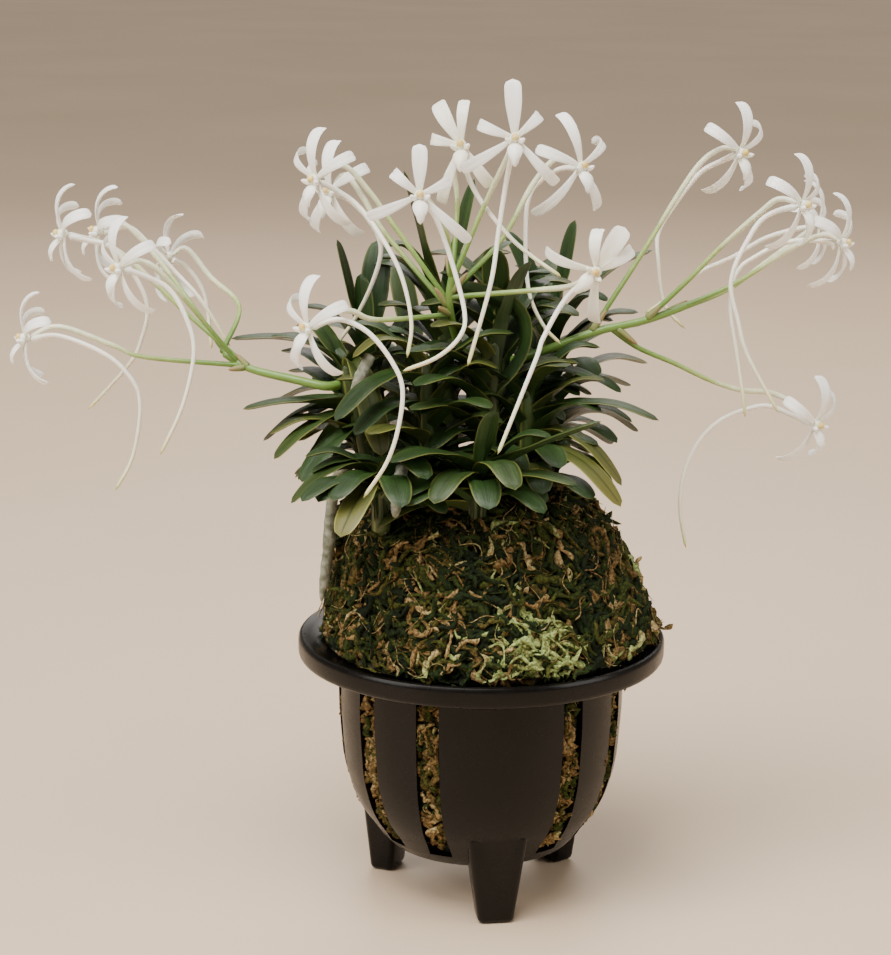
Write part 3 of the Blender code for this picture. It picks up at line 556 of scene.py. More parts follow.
def smooth_route(knots, count):
    """Evenly spaced points on a smooth curve through the knots."""
    knots = [Vector(k) for k in knots]
    ends = [knots[0] * 2 - knots[1]] + knots + [knots[-1] * 2 - knots[-2]]
    fine = []
    for i in range(1, len(ends) - 2):
        a, b, c, d = ends[i - 1:i + 3]
        for step in range(16):
            t = step / 16
            fine.append(0.5 * (2 * b + (c - a) * t + (2 * a - 5 * b + 4 * c - d) * t * t
                               + (3 * b - a - 3 * c + d) * t ** 3))
    fine.append(knots[-1])
    reach = [0.0]
    for a, b in zip(fine, fine[1:]):
        reach.append(reach[-1] + (b - a).length)
    route = []
    j = 0
    for i in range(count):
        goal = reach[-1] * i / (count - 1)
        while j < len(fine) - 2 and reach[j + 1] < goal:
            j += 1
        part = (goal - reach[j]) / max(reach[j + 1] - reach[j], 1e-9)
        route.append(fine[j].lerp(fine[j + 1], min(part, 1.0)))
    return route


def new_skin():
    """An empty bmesh whose points also carry a place along and across their part, and its tone."""
    bm = bmesh.new()
    for label in ("along", "across", "tone"):
        bm.verts.layers.float.new(label)
    return bm


def skin(bm, sides, rows, shape, material=0, tone=0.5, from_to=(0.0, 1.0)):
    """A closed part: a grid wrapped round by a formula, with its seam and its two ends merged."""
    along, across, shade = (bm.verts.layers.float[label] for label in ("along", "across", "tone"))
    verts = bmesh.ops.create_grid(bm, x_segments=sides, y_segments=rows, size=1.0)["verts"]
    first, last = [], []
    for vert in verts:
        step = round((vert.co.x + 1) / 2 * sides) % sides
        row = round((vert.co.y + 1) / 2 * rows)
        if row == 0:
            first.append(vert)
        elif row == rows:
            last.append(vert)
        vert.co = shape(row / rows, step / sides)
        vert[along] = from_to[0] + (from_to[1] - from_to[0]) * row / rows
        vert[across] = 1.0 - abs(((step / sides) * 4.0) % 2.0 - 1.0) if sides > 8 else 0.0
        vert[shade] = tone
    for ring in (first, last):
        middle = sum((vert.co for vert in ring), Vector()) / len(ring)
        for vert in ring:
            vert.co = middle
    for face in {face for vert in verts for face in vert.link_faces}:
        face.material_index = material
    bmesh.ops.remove_doubles(bm, verts=verts, dist=0.0001)


def headings(route):
    """The direction of a route at each of its points."""
    last = len(route) - 1
    return [(route[min(i + 1, last)] - route[max(i - 1, 0)]).normalized() for i in range(last + 1)]


def tube(bm, route, radius, sides=8, material=0, tone=0.5, from_to=(0.0, 1.0)):
    """A stalk along a route; radius is a formula of the place along it."""
    runs = headings(route)
    side = runs[0].orthogonal().normalized()
    frames = []
    for run in runs:
        side = (side - run * side.dot(run)).normalized()
        frames.append((side.copy(), run.cross(side)))
    rows = len(route) - 1

    def shape(t, turn):
        i = round(t * rows)
        a, b = frames[i]
        angle = math.tau * turn
        return route[i] + (a * math.cos(angle) + b * math.sin(angle)) * radius(t)

    skin(bm, sides, rows, shape, material, tone, from_to)


def strap(turn):
    """Across a flat blade from edge to edge and back: the place from -1 to 1, and 1 on top or -1 below."""
    return (4 * turn - 1, 1.0) if turn <= 0.5 else (3 - 4 * turn, -1.0)


def leaf(bm, stem_foot, start, tip, lift, width, twist_deg, tone):
    """One strap leaf with its clasping base."""
    tip = Vector(tip)
    level = Vector((tip.x - start.x, tip.y - start.y, 0.0)).normalized()
    foot = start + level * 2.6
    draw_out = Vector(lift) if isinstance(lift, tuple) else Vector((0.0, 0.0, lift))
    bend = foot.lerp(tip, 0.42) + draw_out * 2.0
    base = start + (stem_foot - start) * min(1.0, 13.0 / max((stem_foot - start).length, 1.0))
    knots = [base + level * 1.2, start.lerp(base, 0.5) + level * 1.9, foot]
    knots += [foot * (1 - t) ** 2 + bend * 2 * t * (1 - t) + tip * t * t for t in (0.22, 0.45, 0.7, 1.0)]
    rows = 30
    route = smooth_route(knots, rows + 1)
    runs = headings(route)
    whole = max(sum((b - a).length for a, b in zip(route, route[1:])), 1.0)
    clasp = min(0.45, (foot - base).length / whole)
    side_of_leaf = Vector((0.0, 0.0, 1.0)).cross(level)

    def shape(t, turn):
        i = round(t * rows)
        run = runs[i]
        free = max(0.0, (t - clasp) / (1 - clasp))
        side = Matrix.Rotation(math.radians(twist_deg * free), 3, run) @ side_of_leaf
        face = run.cross(side)
        swell = 0.80 + 0.20 * math.sin(math.pi * min(free / 0.5, 1.0) / 2)
        taper = math.sqrt(max(0.0, 1.0 - max(0.0, (free - 0.60) / 0.405) ** 2.3))
        half = 0.5 * width * swell * taper
        opened = min(1.0, free / 0.45) ** 0.7
        fold = math.radians(FOLD_BASE_DEG + (FOLD_TIP_DEG - FOLD_BASE_DEG) * opened)
        across, top = strap(turn)
        thick = 0.5 * LEAF_THICKNESS * (1 - abs(across) ** 2.6) * (0.25 + 0.75 * min(1.0, taper * 1.3))
        keel = 0.22 * max(0.0, 1 - abs(across) / 0.22) * taper
        bend_round = 0.10 * half * (1 - across * across)
        rise = abs(across) * half * math.sin(fold) + bend_round * 0.6 + (thick if top > 0 else -thick - keel)
        return route[i] + side * across * half * math.cos(fold) + face * rise

    skin(bm, 16, rows, shape, tone=tone)


def reached(start, side_deg, reach, climb):
    """A point at a level distance from the start toward one side, and higher by the climb."""
    side = math.radians(side_deg)
    return start + Vector((math.cos(side) * reach, math.sin(side) * reach, climb))


leaf_green = surface("leaf_green", roughness=0.42, specular_ior_level=0.4)
along, across, age = (attribute(leaf_green, label) for label in ("along", "across", "tone"))
stripes = grain(leaf_green, 1.0, 3.0, node(leaf_green, "ShaderNodeCombineXYZ", {
    "X": product(leaf_green, across, 26.0), "Y": product(leaf_green, along, 2.0), "Z": age}).outputs[0])
blade = ramp(leaf_green, product(leaf_green, grain(leaf_green, 45.0, 4.0), stripes),
             [(0.12, (0.008, 0.024, 0.004)), (0.30, (0.017, 0.044, 0.008)), (0.48, (0.038, 0.075, 0.014))])
old = ramp(leaf_green, along,
           [(0.0, (0.09, 0.11, 0.02)), (0.6, (0.085, 0.095, 0.020)), (1.0, (0.15, 0.13, 0.025))])
aged = span(leaf_green, age, 0.45, 1.0, 0.0, 0.75)
tinted = blend(leaf_green, aged, blade, old)
edge = product(leaf_green, span(leaf_green, across, 0.16, 0.0, 0.0, 1.0), age)
tinted = blend(leaf_green, edge, tinted, (0.26, 0.25, 0.06, 1.0))
midline = span(leaf_green, across, 0.86, 1.0, 0.0, 0.75)
tinted = blend(leaf_green, midline, tinted, (0.006, 0.014, 0.004, 1.0))
feed(leaf_green, "Base Color", tinted)
relief(leaf_green, stripes, 0.00022, 0.6)

# Each shoot gives its foot, the top of its stem and its leaves: height on the stem, tip, lift, and for some
# also width and twist.
SHOOTS = {
    "shoot_front": ((-2, -29), (-2, -32, 134), [
        (131, (-25, -48, 137), 4), (127, (-22, -46, 127), 3), (131, (30, -50, 149), 1),
        (127, (24, -47, 131), 3), (132, (2, -42, 150), 2, 6.0)]),
    "shoot_left_low": ((-28, -29), (-28, -31, 133), [
        (130, (-52, -37, 123), 5), (131, (-47, -31, 130), 3), (127, (-38, -53, 118), 3)]),
    "shoot_left": ((-31, -5), (-39, -5, 158), [
        (143, (-67, -10, 143), 2), (141, (-62, -1, 132), 5), (139, (-58, -15, 130), 4),
        (137, (-52, -2, 121), 5), (135, (-50, -21, 125), 3), (155, (-28, -27, 134), 5),
        (155, (-60, 4, 161), 3)]),
    "shoot_left_front": ((-15, -18), (-16, -17, 161), [
        (152, (-40, -38, 146), 6), (144, (-35, -33, 141), 5), (136, (-31, -41, 143), 3),
        (158, (-36, -22, 160), 6)]),
    "shoot_centre": ((0, -11), (3, -10, 166), [
        (147, (-7, -9, 178), (14, -2, 6), LEAF_WIDTH, 70), (150, (-21, -29, 163), 5),
        (142, (-19, -35, 155), 6), (135, (-20, -33, 148), 5), (163, (12, -16, 186), 4)]),
    "shoot_right": ((12, -8), (12, -7, 152), [
        (140, (48, -16, 142), 5), (148, (22, -22, 158), 3), (134, (38, -18, 124), 7),
        (130, (37, -30, 121), 6), (145, (30, -1, 146), 4)]),
    "shoot_right_back": ((5, 9), (4, 9, 174), [
        (160, (26, -5, 169), 6), (166, (25, 8, 176), 5), (146, (31, -8, 152), 4), (141, (28, 6, 146), 5),
        (168, (2, 1, 187), 3), (160, (-18, -1, 171), 5), (150, (-20, -2, 158), 5)]),
    "shoot_right_far": ((20, 20), (19, 21, 166), [
        (160, (48, 20, 184), 5), (150, (44, 14, 167), 6), (141, (48, 26, 150), 6), (131, (46, 33, 128), 6),
        (162, (6, 31, 188), 4), (164, (26, 24, 192), 2)]),
    "shoot_left_back": ((-28, 13), (-33, 14, 160), [
        (150, (-72, 11, 159), 4), (156, (-42, 16, 187), 1), (158, (-30, 24, 186), 2),
        (153, (-35, 11, 178), 3), (138, (-62, 24, 137), 6), (129, (-54, 13, 118), 6)]),
    "shoot_back": ((-9, 14), (-12, 15, 176), [
        (170, (-23, 12, 207), 2), (172, (-3, 19, 204), 2), (166, (-30, 9, 183), 6), (154, (-25, 28, 162), 5),
        (164, (8, 22, 186), 5)]),
    "shoot_rear_left": ((-18, 27), (-19, 31, 152), [
        (144, (-52, 46, 158), 5), (139, (4, 48, 156), 6), (134, (-50, 50, 138), 6), (130, (-6, 62, 136), 6),
        (126, (-42, 58, 119), 6), (150, (-26, 44, 178), 2)]),
    "shoot_rear_right": ((13, 29), (14, 32, 150), [
        (143, (48, 46, 158), 5), (136, (45, 52, 138), 6), (131, (10, 66, 130), 7), (126, (40, 56, 119), 5),
        (148, (20, 46, 178), 2)]),
}
OLD_TIPS = {(37, -30, 121): 1.0, (38, -18, 124): 0.9, (-38, -53, 118): 1.0, (-36, -22, 160): 0.85,
            (-28, -27, 134): 0.8, (48, 26, 150): 0.8, (-31, -41, 143): 0.75, (25, 8, 176): 0.7}

# A shoot has the leaves of its table, then random ones up its stem, and a front one has low ones as well.
for name, (foot, top, leaves) in SHOOTS.items():
    draw = random.Random(name)
    bm = new_skin()
    knee = Vector((foot[0], foot[1], MOUND_TOP - 1.0))
    top = Vector(top)
    low = Vector((foot[0], foot[1], MOUND_TOP - 9.0))
    tube(bm, smooth_route([low, knee, knee.lerp(top, 0.5), top], 12),
         lambda t: STEM_RADIUS * (1.0 if t < 0.8 else 1.0 - 0.5 * (t - 0.8) / 0.2),
         sides=10, tone=0.6, from_to=(0.0, 0.2))
    for height, tip, lift, *rest in leaves:
        part = max(0.0, (height - knee.z) / (top.z - knee.z))
        width = rest[0] if rest else LEAF_WIDTH * draw.uniform(0.95, 1.05)
        leaf(bm, low, knee.lerp(top, part), tip, lift, width, rest[1] if len(rest) > 1 else 0.0,
             OLD_TIPS.get(tip, draw.uniform(0.05, 0.55)))
    fan = draw.uniform(-35.0, 35.0)
    height = knee.z - 0.5
    turned_back = draw.random() < 0.5
    while height < top.z - 3.0:
        share = (height - knee.z) / (top.z - knee.z)
        start = knee.lerp(top, share)
        side = fan + draw.uniform(-28.0, 28.0) + (180.0 if turned_back else 0.0)
        reach = draw.uniform(21.0, 30.0) * (1.0 - 0.25 * share)
        tip = reached(start, side, reach, 15.0 * share + draw.uniform(-3.5, 3.5))
        leaf(bm, low, start, tip, draw.uniform(4.0, 6.5), LEAF_WIDTH * draw.uniform(0.9, 1.02), 0.0,
             draw.uniform(0.0, 0.75))
        height += draw.uniform(2.4, 3.8)
        turned_back = not turned_back
    if foot[1] < FRONT_SHOOT_LIMIT:
        for height, side in FRONT_LEAVES:
            start = knee.lerp(top, height / (top.z - knee.z))
            tip = reached(start, side + draw.uniform(-10.0, 10.0), draw.uniform(20.0, 27.0),
                          draw.uniform(-1.0, 4.0))
            leaf(bm, low, start, tip, draw.uniform(4.0, 6.0), LEAF_WIDTH, 0.0, draw.uniform(0.1, 0.5))
    bmesh.ops.recalc_face_normals(bm, faces=bm.faces)
    settled(plain_object("leaves_" + name, bm), "leaf_green", name, materials=[leaf_green],
            sharp_deg=SOFT_EDGE_DEG)


# Flower spikes
# Three arching green stalks that leave the fans, with a pointed bract under each flower stalk. Each flower
# stalk is green here and fades to cream white where it reaches its flower.
PEDUNCLE_RADIUS = 1.2
PEDICEL_RADIUS = 0.66
PEDUNCLE_SAMPLES = 41
BRACT_RADIUS = 1.1
GREEN_SHARE = 0.55
STALK_SAMPLES = 240
STALK_STEP = 5
STALK_OVERLAP = 10

stalk_green = surface("stalk_green", roughness=0.42, subsurface_weight=0.15, subsurface_scale=0.001)
fade = ramp(stalk_green, attribute(stalk_green, "along"),
            [(0.0, (0.80, 0.79, 0.70)), (0.32, (0.66, 0.69, 0.46)), (0.55, (0.36, 0.47, 0.16)),
             (0.8, (0.15, 0.27, 0.05)), (1.0, (0.10, 0.20, 0.035))])
mottle = ramp(stalk_green, grain(stalk_green, 500.0), [(0.3, (0.82, 0.85, 0.75)), (0.7, (1.0, 1.0, 1.0))])
feed(stalk_green, "Base Color", blend(stalk_green, 1.0, fade, mottle, "MULTIPLY"))
relief(stalk_green, grain(stalk_green, 1500.0), 0.00008, 0.6)
bract_brown = surface("bract_brown", roughness=0.55)
coloured(bract_brown, attribute(bract_brown, "along"),
         [(0.0, (0.14, 0.20, 0.05)), (0.5, (0.20, 0.20, 0.07)), (1.0, (0.26, 0.15, 0.07))])
relief(bract_brown, grain(bract_brown, 1200.0), 0.0002)

# Each spike gives the route of its main stalk and its bracts: place on the stalk, and tip.
PEDUNCLES = {
    "spike_left": (
        [(-39.8, -8.2, 150), (-44, -11, 150), (-52, -10, 151.5), (-65, -7, 154), (-73, -4, 158)],
        [(0.74, (-69, -6, 158)), (0.92, (-75, -1, 161)), (0.78, (-71, -9, 154))]),
    "spike_centre": (
        [(-0.6, -9.9, 158), (-6, -10.5, 160), (-8.5, -13, 166), (-10, -17, 175), (-9, -17, 183)],
        [(0.68, (-14, -18, 179)), (0.8, (-5, -17, 183)), (0.6, (-13, -20, 174)), (0.95, (-11, -14, 187))]),
    "spike_right": (
        [(7.2, 7.4, 154), (14, 2, 157), (22, 0, 160.5), (32, 1, 164), (46, 3, 167), (60, 5, 172)],
        [(0.46, (34, 1, 170)), (0.72, (50, 2, 172)), (0.82, (57, 6, 172)), (0.58, (43, 1, 160))]),
}
spike_skins = {}
spike_routes = {}


def spike_point(spike, joint):
    """The point at a share of the length of a spike's main stalk."""
    return spike_routes[spike][round(joint * (PEDUNCLE_SAMPLES - 1))]


for spike, (knots, bracts) in PEDUNCLES.items():
    spike_skins[spike] = new_skin()
    spike_routes[spike] = smooth_route(knots, PEDUNCLE_SAMPLES)
    tube(spike_skins[spike], spike_routes[spike], lambda t: PEDUNCLE_RADIUS * (1.1 - 0.25 * t),
         sides=10, from_to=(0.9, 0.8))
    for joint, tip in bracts:
        foot = spike_point(spike, joint)
        tube(spike_skins[spike], smooth_route([foot, foot.lerp(Vector(tip), 0.4), tip], 9),
             lambda t: BRACT_RADIUS * math.sqrt(max(0.02, 1 - t ** 1.6)), material=1)


# Blooms
# White flowers on long stalks: five narrow waxy petals that curl back, a three-lobed lip, a short column
# with a pale yellow cap, and a long thin spur with a yellow-green tip. Each is one soft grown piece.
TEPAL_LENGTH = 14.8
TEPAL_WIDTH = 3.15
TEPAL_THICKNESS = 0.75
TEPAL_START = 0.8
# Each petal gives its angle, its curl at the start and the end, and for some its share of length and width.
TEPALS = ((90, 15, -95, 1.05, 1.25), (33, 10, -125), (147, 10, -125), (-60, 15, -75, 1.1, 1.1),
          (-120, 15, -75, 1.1, 1.1))
LIP_WIDTH = 3.4
LIP_ROWS = 12
SPUR_RADIUS = 0.74
SPUR_TIP_RADIUS = 0.5
PETAL, CAP, SPUR, STALK = range(4)

petal_white = surface("petal_white", roughness=0.42, subsurface_weight=0.35, subsurface_scale=0.0015,
                      subsurface_radius=(1.0, 0.9, 0.75), sheen_weight=0.1, sheen_roughness=0.4)
along, across, warmth = (attribute(petal_white, label) for label in ("along", "across", "tone"))
veins = grain(petal_white, 1.0, 2.0, node(petal_white, "ShaderNodeCombineXYZ", {
    "X": product(petal_white, across, 9.0), "Y": along, "Z": warmth}).outputs[0])
fresh = ramp(petal_white, along,
             [(0.0, (0.86, 0.86, 0.74)), (0.25, (0.96, 0.96, 0.93)), (1.0, (0.98, 0.98, 0.97))])
creamy = blend(petal_white, warmth, fresh, (0.90, 0.86, 0.70, 1.0))
veined = ramp(petal_white, veins, [(0.3, (0.93, 0.93, 0.90)), (0.6, (1.0, 1.0, 1.0))])
feed(petal_white, "Base Color", blend(petal_white, 1.0, creamy, veined, "MULTIPLY"))
relief(petal_white, veins, 0.0001, 0.5)
cap_yellow = surface("cap_yellow", roughness=0.5, subsurface_weight=0.2, subsurface_scale=0.001)
coloured(cap_yellow, grain(cap_yellow, 700.0), [(0.35, (0.66, 0.44, 0.10)), (0.65, (0.82, 0.70, 0.30))])
relief(cap_yellow, grain(cap_yellow, 1800.0), 0.0001)
spur_white = surface("spur_white", roughness=0.38, subsurface_weight=0.3, subsurface_scale=0.0015)
coloured(spur_white, attribute(spur_white, "along"),
         [(0.0, (0.86, 0.85, 0.78)), (0.6, (0.84, 0.82, 0.72)), (0.9, (0.76, 0.74, 0.50)),
          (1.0, (0.58, 0.60, 0.24))])
relief(spur_white, grain(spur_white, 1500.0), 0.00005, 0.6)


def tepal(bm, centre, out, front, length, width, curl_from, curl_to, tone):
    """A narrow petal that leaves the centre outward and curls back along its length."""
    rows = 20
    along = [(0.0, 0.0)]
    for i in range(rows):
        heading = math.radians(curl_from + (curl_to - curl_from) * ((i + 0.5) / rows) ** 1.7)
        r, z = along[-1]
        along.append((r + math.cos(heading) * length / rows, z + math.sin(heading) * length / rows))
    across_petal = front.cross(out)

    def shape(t, turn):
        i = round(t * rows)
        r, z = along[i]
        heading = math.radians(curl_from + (curl_to - curl_from) * t ** 1.7)
        face = front * math.cos(heading) - out * math.sin(heading)
        across, top = strap(turn)
        swell = 0.40 + 0.60 * math.sin(math.pi * min(1.0, t / 0.72) / 2) ** 1.4
        tip = math.sqrt(max(0.0, 1.0 - max(0.0, (t - 0.82) / 0.183) ** 2.4))
        half = 0.5 * width * swell * tip
        thick = 0.5 * TEPAL_THICKNESS * (1 - abs(across) ** 2.4) * (0.3 + 0.7 * tip)
        channel = 0.16 * half * across * across - 0.12 * max(0.0, 1 - abs(across) * 4)
        return centre + out * r + front * z + across_petal * across * half + face * (channel + thick * top)

    skin(bm, 12, rows, shape, PETAL, tone)


def bloom(name, spike, joint, centre, facing, roll, spur, stalk, size=1.0, changes=None, tone=0.1):
    """One flower. facing is its azimuth from the front toward the right and its rise, in degrees; joint is
    where its stalk leaves the spike; spur and stalk are routes that leave the flower."""
    bm = new_skin()
    centre = Vector(centre)
    azimuth, rise = (math.radians(a) for a in facing)
    front = Vector((math.sin(azimuth) * math.cos(rise), -math.cos(azimuth) * math.cos(rise), math.sin(rise)))
    right = Vector((math.cos(azimuth), math.sin(azimuth), 0.0))
    right = Matrix.Rotation(math.radians(-roll), 3, front) @ right
    up = front.cross(right)
    for i, petal in enumerate(TEPALS):
        angle, curl_from, curl_to, *rest = (changes or {}).get(i, petal)
        length, width = rest or (1.0, 1.0)
        out = right * math.cos(math.radians(angle)) + up * math.sin(math.radians(angle))
        tepal(bm, centre + out * TEPAL_START, out, front, TEPAL_LENGTH * size * length,
              TEPAL_WIDTH * size * width, curl_from, curl_to, tone)
    tongue = centre - up * 1.0 + front * 0.6
    lip_route = smooth_route([tongue, tongue + front * 2.6 - up * 1.2, tongue + front * 4.0 - up * 3.4,
                              tongue + front * 3.8 - up * 6.2], LIP_ROWS + 1)
    lip_runs = headings(lip_route)

    def lip(t, turn):
        i = round(t * LIP_ROWS)
        face = right.cross(lip_runs[i])
        across, top = strap(turn)
        half = 0.5 * LIP_WIDTH * size * (0.7 + 0.5 * math.sin(math.pi * min(1.0, t * 1.3)))
        half *= math.sqrt(max(0.0, 1.0 - max(0.0, (t - 0.6) / 0.41) ** 2))
        thick = 0.45 * (1 - abs(across) ** 2.4)
        return lip_route[i] + right * across * half + face * (0.25 * half * across * across - thick * top)

    skin(bm, 12, LIP_ROWS, lip, PETAL, tone + 0.15)
    for side in (-1, 1):
        lobe_route = smooth_route([tongue + right * side * 0.6,
                                   tongue + right * side * 1.9 + front * 1.4 + up * 0.6,
                                   tongue + right * side * 2.5 + front * 2.6 + up * 1.3], 7)
        tube(bm, lobe_route, lambda t: 0.85 * math.sqrt(max(0.03, 1 - t * t)), tone=tone + 0.1)
    for offset, radius, stretch, slot in ((front * 0.6, 1.55, 1.25, PETAL),
                                          (front * 2.1 + up * 0.5, 1.05, 0.9, CAP)):
        made = bmesh.ops.create_icosphere(bm, subdivisions=2, radius=radius * size)["verts"]
        for vert in made:
            vert.co = centre + offset + right * vert.co.x + up * vert.co.y + front * vert.co.z * stretch
        for face in {face for vert in made for face in vert.link_faces}:
            face.material_index = slot

    def spur_radius(t):
        mouth = 1.0 + 0.45 * math.exp(-(t / 0.05) ** 2)
        end = math.sqrt(max(0.02, 1 - max(0.0, (t - 0.96) / 0.04) ** 2))
        return (SPUR_RADIUS + (SPUR_TIP_RADIUS - SPUR_RADIUS) * t) * mouth * end

    tube(bm, smooth_route([centre - front * 0.6 - up * 0.8, *spur], 44), spur_radius, material=SPUR)
    whole = smooth_route([centre - front * 0.8, *stalk, spike_point(spike, joint)], STALK_SAMPLES)
    fade_at = 1.0 - GREEN_SHARE
    split = round((STALK_SAMPLES - 1) * fade_at)
    white_end, green_start = split + STALK_OVERLAP, split - STALK_OVERLAP
    tube(bm, whole[:white_end:STALK_STEP] + [whole[white_end]],
         lambda t: PEDICEL_RADIUS * (1.0 + 0.25 * math.sin(math.pi * t)),
         material=STALK, from_to=(0.0, fade_at))
    tube(spike_skins[spike], whole[green_start:-1:STALK_STEP] + [whole[-1]],
         lambda t: PEDICEL_RADIUS * (1.0 + 0.15 * t), from_to=(fade_at, 1.0))
    bmesh.ops.recalc_face_normals(bm, faces=bm.faces)
    settled(plain_object("flower_" + name, bm), "petal_white", name,
            materials=[petal_white, cap_yellow, spur_white, stalk_green], sharp_deg=SOFT_EDGE_DEG)


bloom("bloom_left_1", "spike_left", 0.74, (-116, -5, 191), (-70, -8), 0,
      [(-110, -4, 189), (-102, -3, 186), (-94, -2, 172), (-96, -1, 160), (-100, -2, 153), (-111, -3, 141)],
      [(-102, 2, 185), (-84, 0, 169)])
bloom("bloom_left_2", "spike_left", 0.95, (-109, 15, 189), (-80, 0), 10,
      [(-101, 16, 190), (-95, 16, 185), (-87, 14, 177), (-80, 10.5, 170), (-72, 10, 157)],
      [(-102, 15, 191), (-91, 12, 180)])
bloom("bloom_left_3", "spike_left", 0.85, (-99, -20, 184), (-45, -10), 0,
      [(-94, -18, 182), (-86, -18, 178), (-81, -20, 170), (-79, -22, 161), (-82, -25, 147), (-88, -28, 134)],
      [(-93, -16, 185), (-86, -14, 179)])
bloom("bloom_left_4", "spike_left", 1.0, (-91, 29, 180), (-120, 0), 0,
      [(-86, 32, 176), (-81, 31, 168), (-79, 28, 153)],
      [(-86, 30, 182), (-79, 28, 174), (-70, 18, 167)], 0.95)
bloom("bloom_left_5", "spike_left", 0.8, (-127, -6, 162), (-75, -5), 0,
      [(-118, -8, 163), (-106, -10, 159), (-99, -12, 154), (-95, -13, 146), (-97, -14, 131),
       (-102, -16, 121)],
      [(-118, -5, 165), (-103, -6, 160), (-94, -7, 157)], 0.95)
bloom("bloom_centre_1", "spike_centre", 0.72, (-46, -18, 208), (-38, -8), 0,
      [(-41, -16, 205), (-35, -17, 201), (-29, -21, 194), (-23, -27, 184), (-20, -33, 172), (-21, -37, 163)],
      [(-39, -12, 211), (-32, -11, 204), (-26, -12, 196)])
bloom("bloom_centre_2", "spike_centre", 0.66, (-43, -1, 203), (-30, -5), 0,
      [(-38, 2, 200), (-32, 1, 194), (-29, 0, 187), (-31, 1, 178), (-36, 4, 167), (-42, 5.5, 158)],
      [(-39, 1, 207), (-34, 0, 201), (-28, -4, 192)])
bloom("bloom_centre_3", "spike_centre", 0.95, (-18, -35, 206), (5, 0), 0,
      [(-14, -31, 200), (-10, -33, 190), (-6, -38, 176), (-7, -42, 170), (-13, -46, 165), (-22, -50, 162)],
      [(-15, -30, 203), (-11, -25, 195)],
      changes={0: (90, 5, -25, 0.85, 1.3), 1: (25, 30, -150, 0.85, 1.0), 2: (140, 30, -150, 0.85, 1.0),
               3: (-43, 15, -50, 1.3, 0.95), 4: (-156, 15, -60, 1.05, 0.95)})
bloom("bloom_centre_4", "spike_centre", 1.0, (-7, -15, 217), (-10, 5), -5,
      [(-5, -12, 208), (-1, -14, 201), (6, -18, 193), (12, -20, 188), (20, -24, 183)],
      [(-9, -8, 210), (-8, -9, 201)], tone=0.6,
      changes={0: (118, 10, -60, 0.95, 1.4), 1: (84, 20, -80, 0.9, 1.0), 2: (165, 30, -140, 0.8, 1.0),
               3: (-58, 15, -60, 0.95, 1.1), 4: (-115, 15, -70, 1.25, 1.0)})
bloom("bloom_centre_5", "spike_centre", 0.88, (7, -25, 220), (0, 0), 0,
      [(5, -21, 208), (3, -24, 195), (1, -30, 182), (-5, -38, 161)],
      [(5, -20, 214), (-2, -16, 198)],
      changes={0: (93, 5, -20, 1.0, 1.45), 1: (42, 25, -150, 0.85, 1.0), 2: (160, 25, -110, 0.85, 1.0),
               3: (-47, 20, -70, 1.25, 0.95), 4: (-148, 15, -60, 1.2, 1.0)})
bloom("bloom_centre_6", "spike_centre", 0.8, (26, 0, 210), (25, 0), 0,
      [(21, 3, 209), (16, 5, 206), (12, 4, 201), (11, 0, 191), (12, -4, 176), (16, -8, 167), (21, -10, 162)],
      [(20, 4, 212), (13, 1, 205), (4, -6, 190)],
      changes={0: (107, 15, -95, 1.2, 1.1), 1: (40, 20, -150), 2: (158, 15, -90, 1.0, 1.0),
               3: (-63, 15, -60, 1.0, 1.0), 4: (-134, 15, -70, 1.35, 1.0)})
bloom("bloom_centre_7", "spike_centre", 0.78, (29, -32, 186), (-20, -15), 45,
      [(21, -30, 178), (15, -34, 168), (13, -38, 163), (3, -50, 140)],
      [(23, -26, 181), (13, -22, 179)], tone=0.5,
      changes={0: (102, 10, -40, 0.95, 1.6), 1: (75, 20, -120, 0.9, 1.1), 2: (135, 20, -120, 0.9, 1.1),
               3: (-52, 15, -60, 1.2, 1.1), 4: (-150, 15, -60, 1.1, 1.0)})
bloom("bloom_centre_8", "spike_centre", 0.6, (-47, -42, 172), (-40, -5), 0,
      [(-43, -41, 173), (-38, -42, 174), (-31, -44, 171), (-25, -46, 164), (-22, -48, 157), (-23, -50, 147),
       (-26, -52, 138), (-32, -54, 129)],
      [(-42, -37, 175), (-36, -34, 175), (-29, -30, 172)])
bloom("bloom_right_1", "spike_right", 0.46, (71, 12, 213), (35, -15), 0,
      [(66, 15, 210), (60, 17, 206), (52, 17, 195), (49, 16, 189), (49, 14, 183), (51, 12, 170),
       (57, 10, 163)],
      [(66, 12, 214), (60, 11, 210), (53, 9, 200), (45, 6, 187)])
bloom("bloom_right_2", "spike_right", 0.72, (86, -8, 201), (45, -10), 0,
      [(80, -6, 199), (75, -6, 196), (71, -8, 190), (68, -10, 184), (67, -11, 178), (69, -12, 170),
       (72, -13, 160), (81, -14, 144)],
      [(80, -5, 202), (75, -4, 198), (65, -1, 188), (57, 1, 179)])
bloom("bloom_right_3", "spike_right", 0.88, (99, 4, 189), (60, -10), 0,
      [(92, 7, 189), (84, 9, 188), (76, 9, 184), (71, 8, 180), (69, 7, 171), (71, 5, 158), (73, 3, 146),
       (74, 3, 139)],
      [(94, 4, 191), (85, 4, 187), (70, 5, 177)])
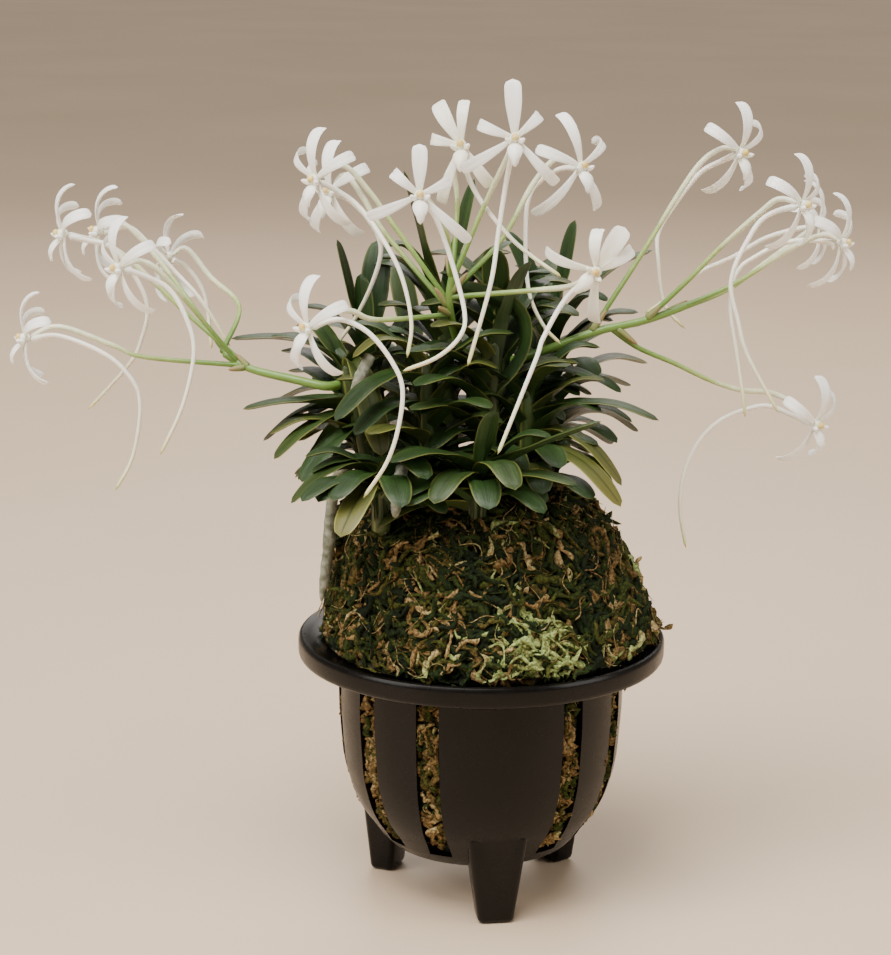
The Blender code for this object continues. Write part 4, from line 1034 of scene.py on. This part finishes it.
bloom("bloom_right_4", "spike_right", 0.8, (96, 26, 191), (65, 0), 0,
      [(90, 30, 189), (81, 31, 186), (72, 29, 181), (62, 25, 177), (54, 21, 171), (46, 18, 166)],
      [(90, 25, 187), (80, 22, 180), (68, 15, 173)], 0.95)
bloom("bloom_right_5", "spike_right", 0.56, (95, 10, 136), (40, -20), 0,
      [(88, 13, 138), (82, 15, 140), (76, 15, 139), (68, 13, 136), (62, 12, 130), (58, 11, 121),
       (57, 10, 111), (59, 9, 99)],
      [(90, 9, 141), (82, 9, 145), (73, 8, 146), (64, 7, 149), (54, 5, 154), (43, 3, 159)])

for spike, bm in spike_skins.items():
    bmesh.ops.recalc_face_normals(bm, faces=bm.faces)
    settled(plain_object("stalks_" + spike, bm), "spike_green", spike, materials=[stalk_green, bract_brown],
            sharp_deg=SOFT_EDGE_DEG)


# Roots
# Thick living roots with a spongy silver-grey skin, grown out of the stems and running down toward the moss.
# Each is one lumpy tube along its own route.
ROOT_ROWS = 30
root_silver = surface("root_silver", roughness=0.8, sheen_weight=0.1, sheen_roughness=0.5)
coloured(root_silver, grain(root_silver, 420.0, 6.0),
         [(0.3, (0.06, 0.07, 0.035)), (0.5, (0.16, 0.17, 0.12)), (0.7, (0.32, 0.32, 0.27))])
relief(root_silver, grain(root_silver, 1100.0, 5.0), 0.0003)

for name, knots, thickness in (
        ("root_left", [(-38, -21, 131), (-40.5, -20, 126), (-42, -19, 118), (-43, -19, 105),
                       (-45, -18, 90)], 1.7),
        ("root_upper", [(-31, -21, 161), (-34, -23, 155), (-36, -24, 148)], 1.6),
        ("root_front", [(-22, -35, 134), (-23, -41, 129), (-24, -44, 121)], 1.7)):
    bm = new_skin()
    draw = random.Random(name)
    lumps = [draw.uniform(0.92, 1.08) for row in range(ROOT_ROWS + 1)]
    tube(bm, smooth_route(knots, ROOT_ROWS + 1),
         lambda t: thickness * lumps[round(t * ROOT_ROWS)] * math.sqrt(max(0.1, 1 - t ** 6)), sides=12)
    bmesh.ops.recalc_face_normals(bm, faces=bm.faces)
    settled(plain_object("skin_" + name, bm), "root_silver", name, materials=[root_silver],
            sharp_deg=SOFT_EDGE_DEG)
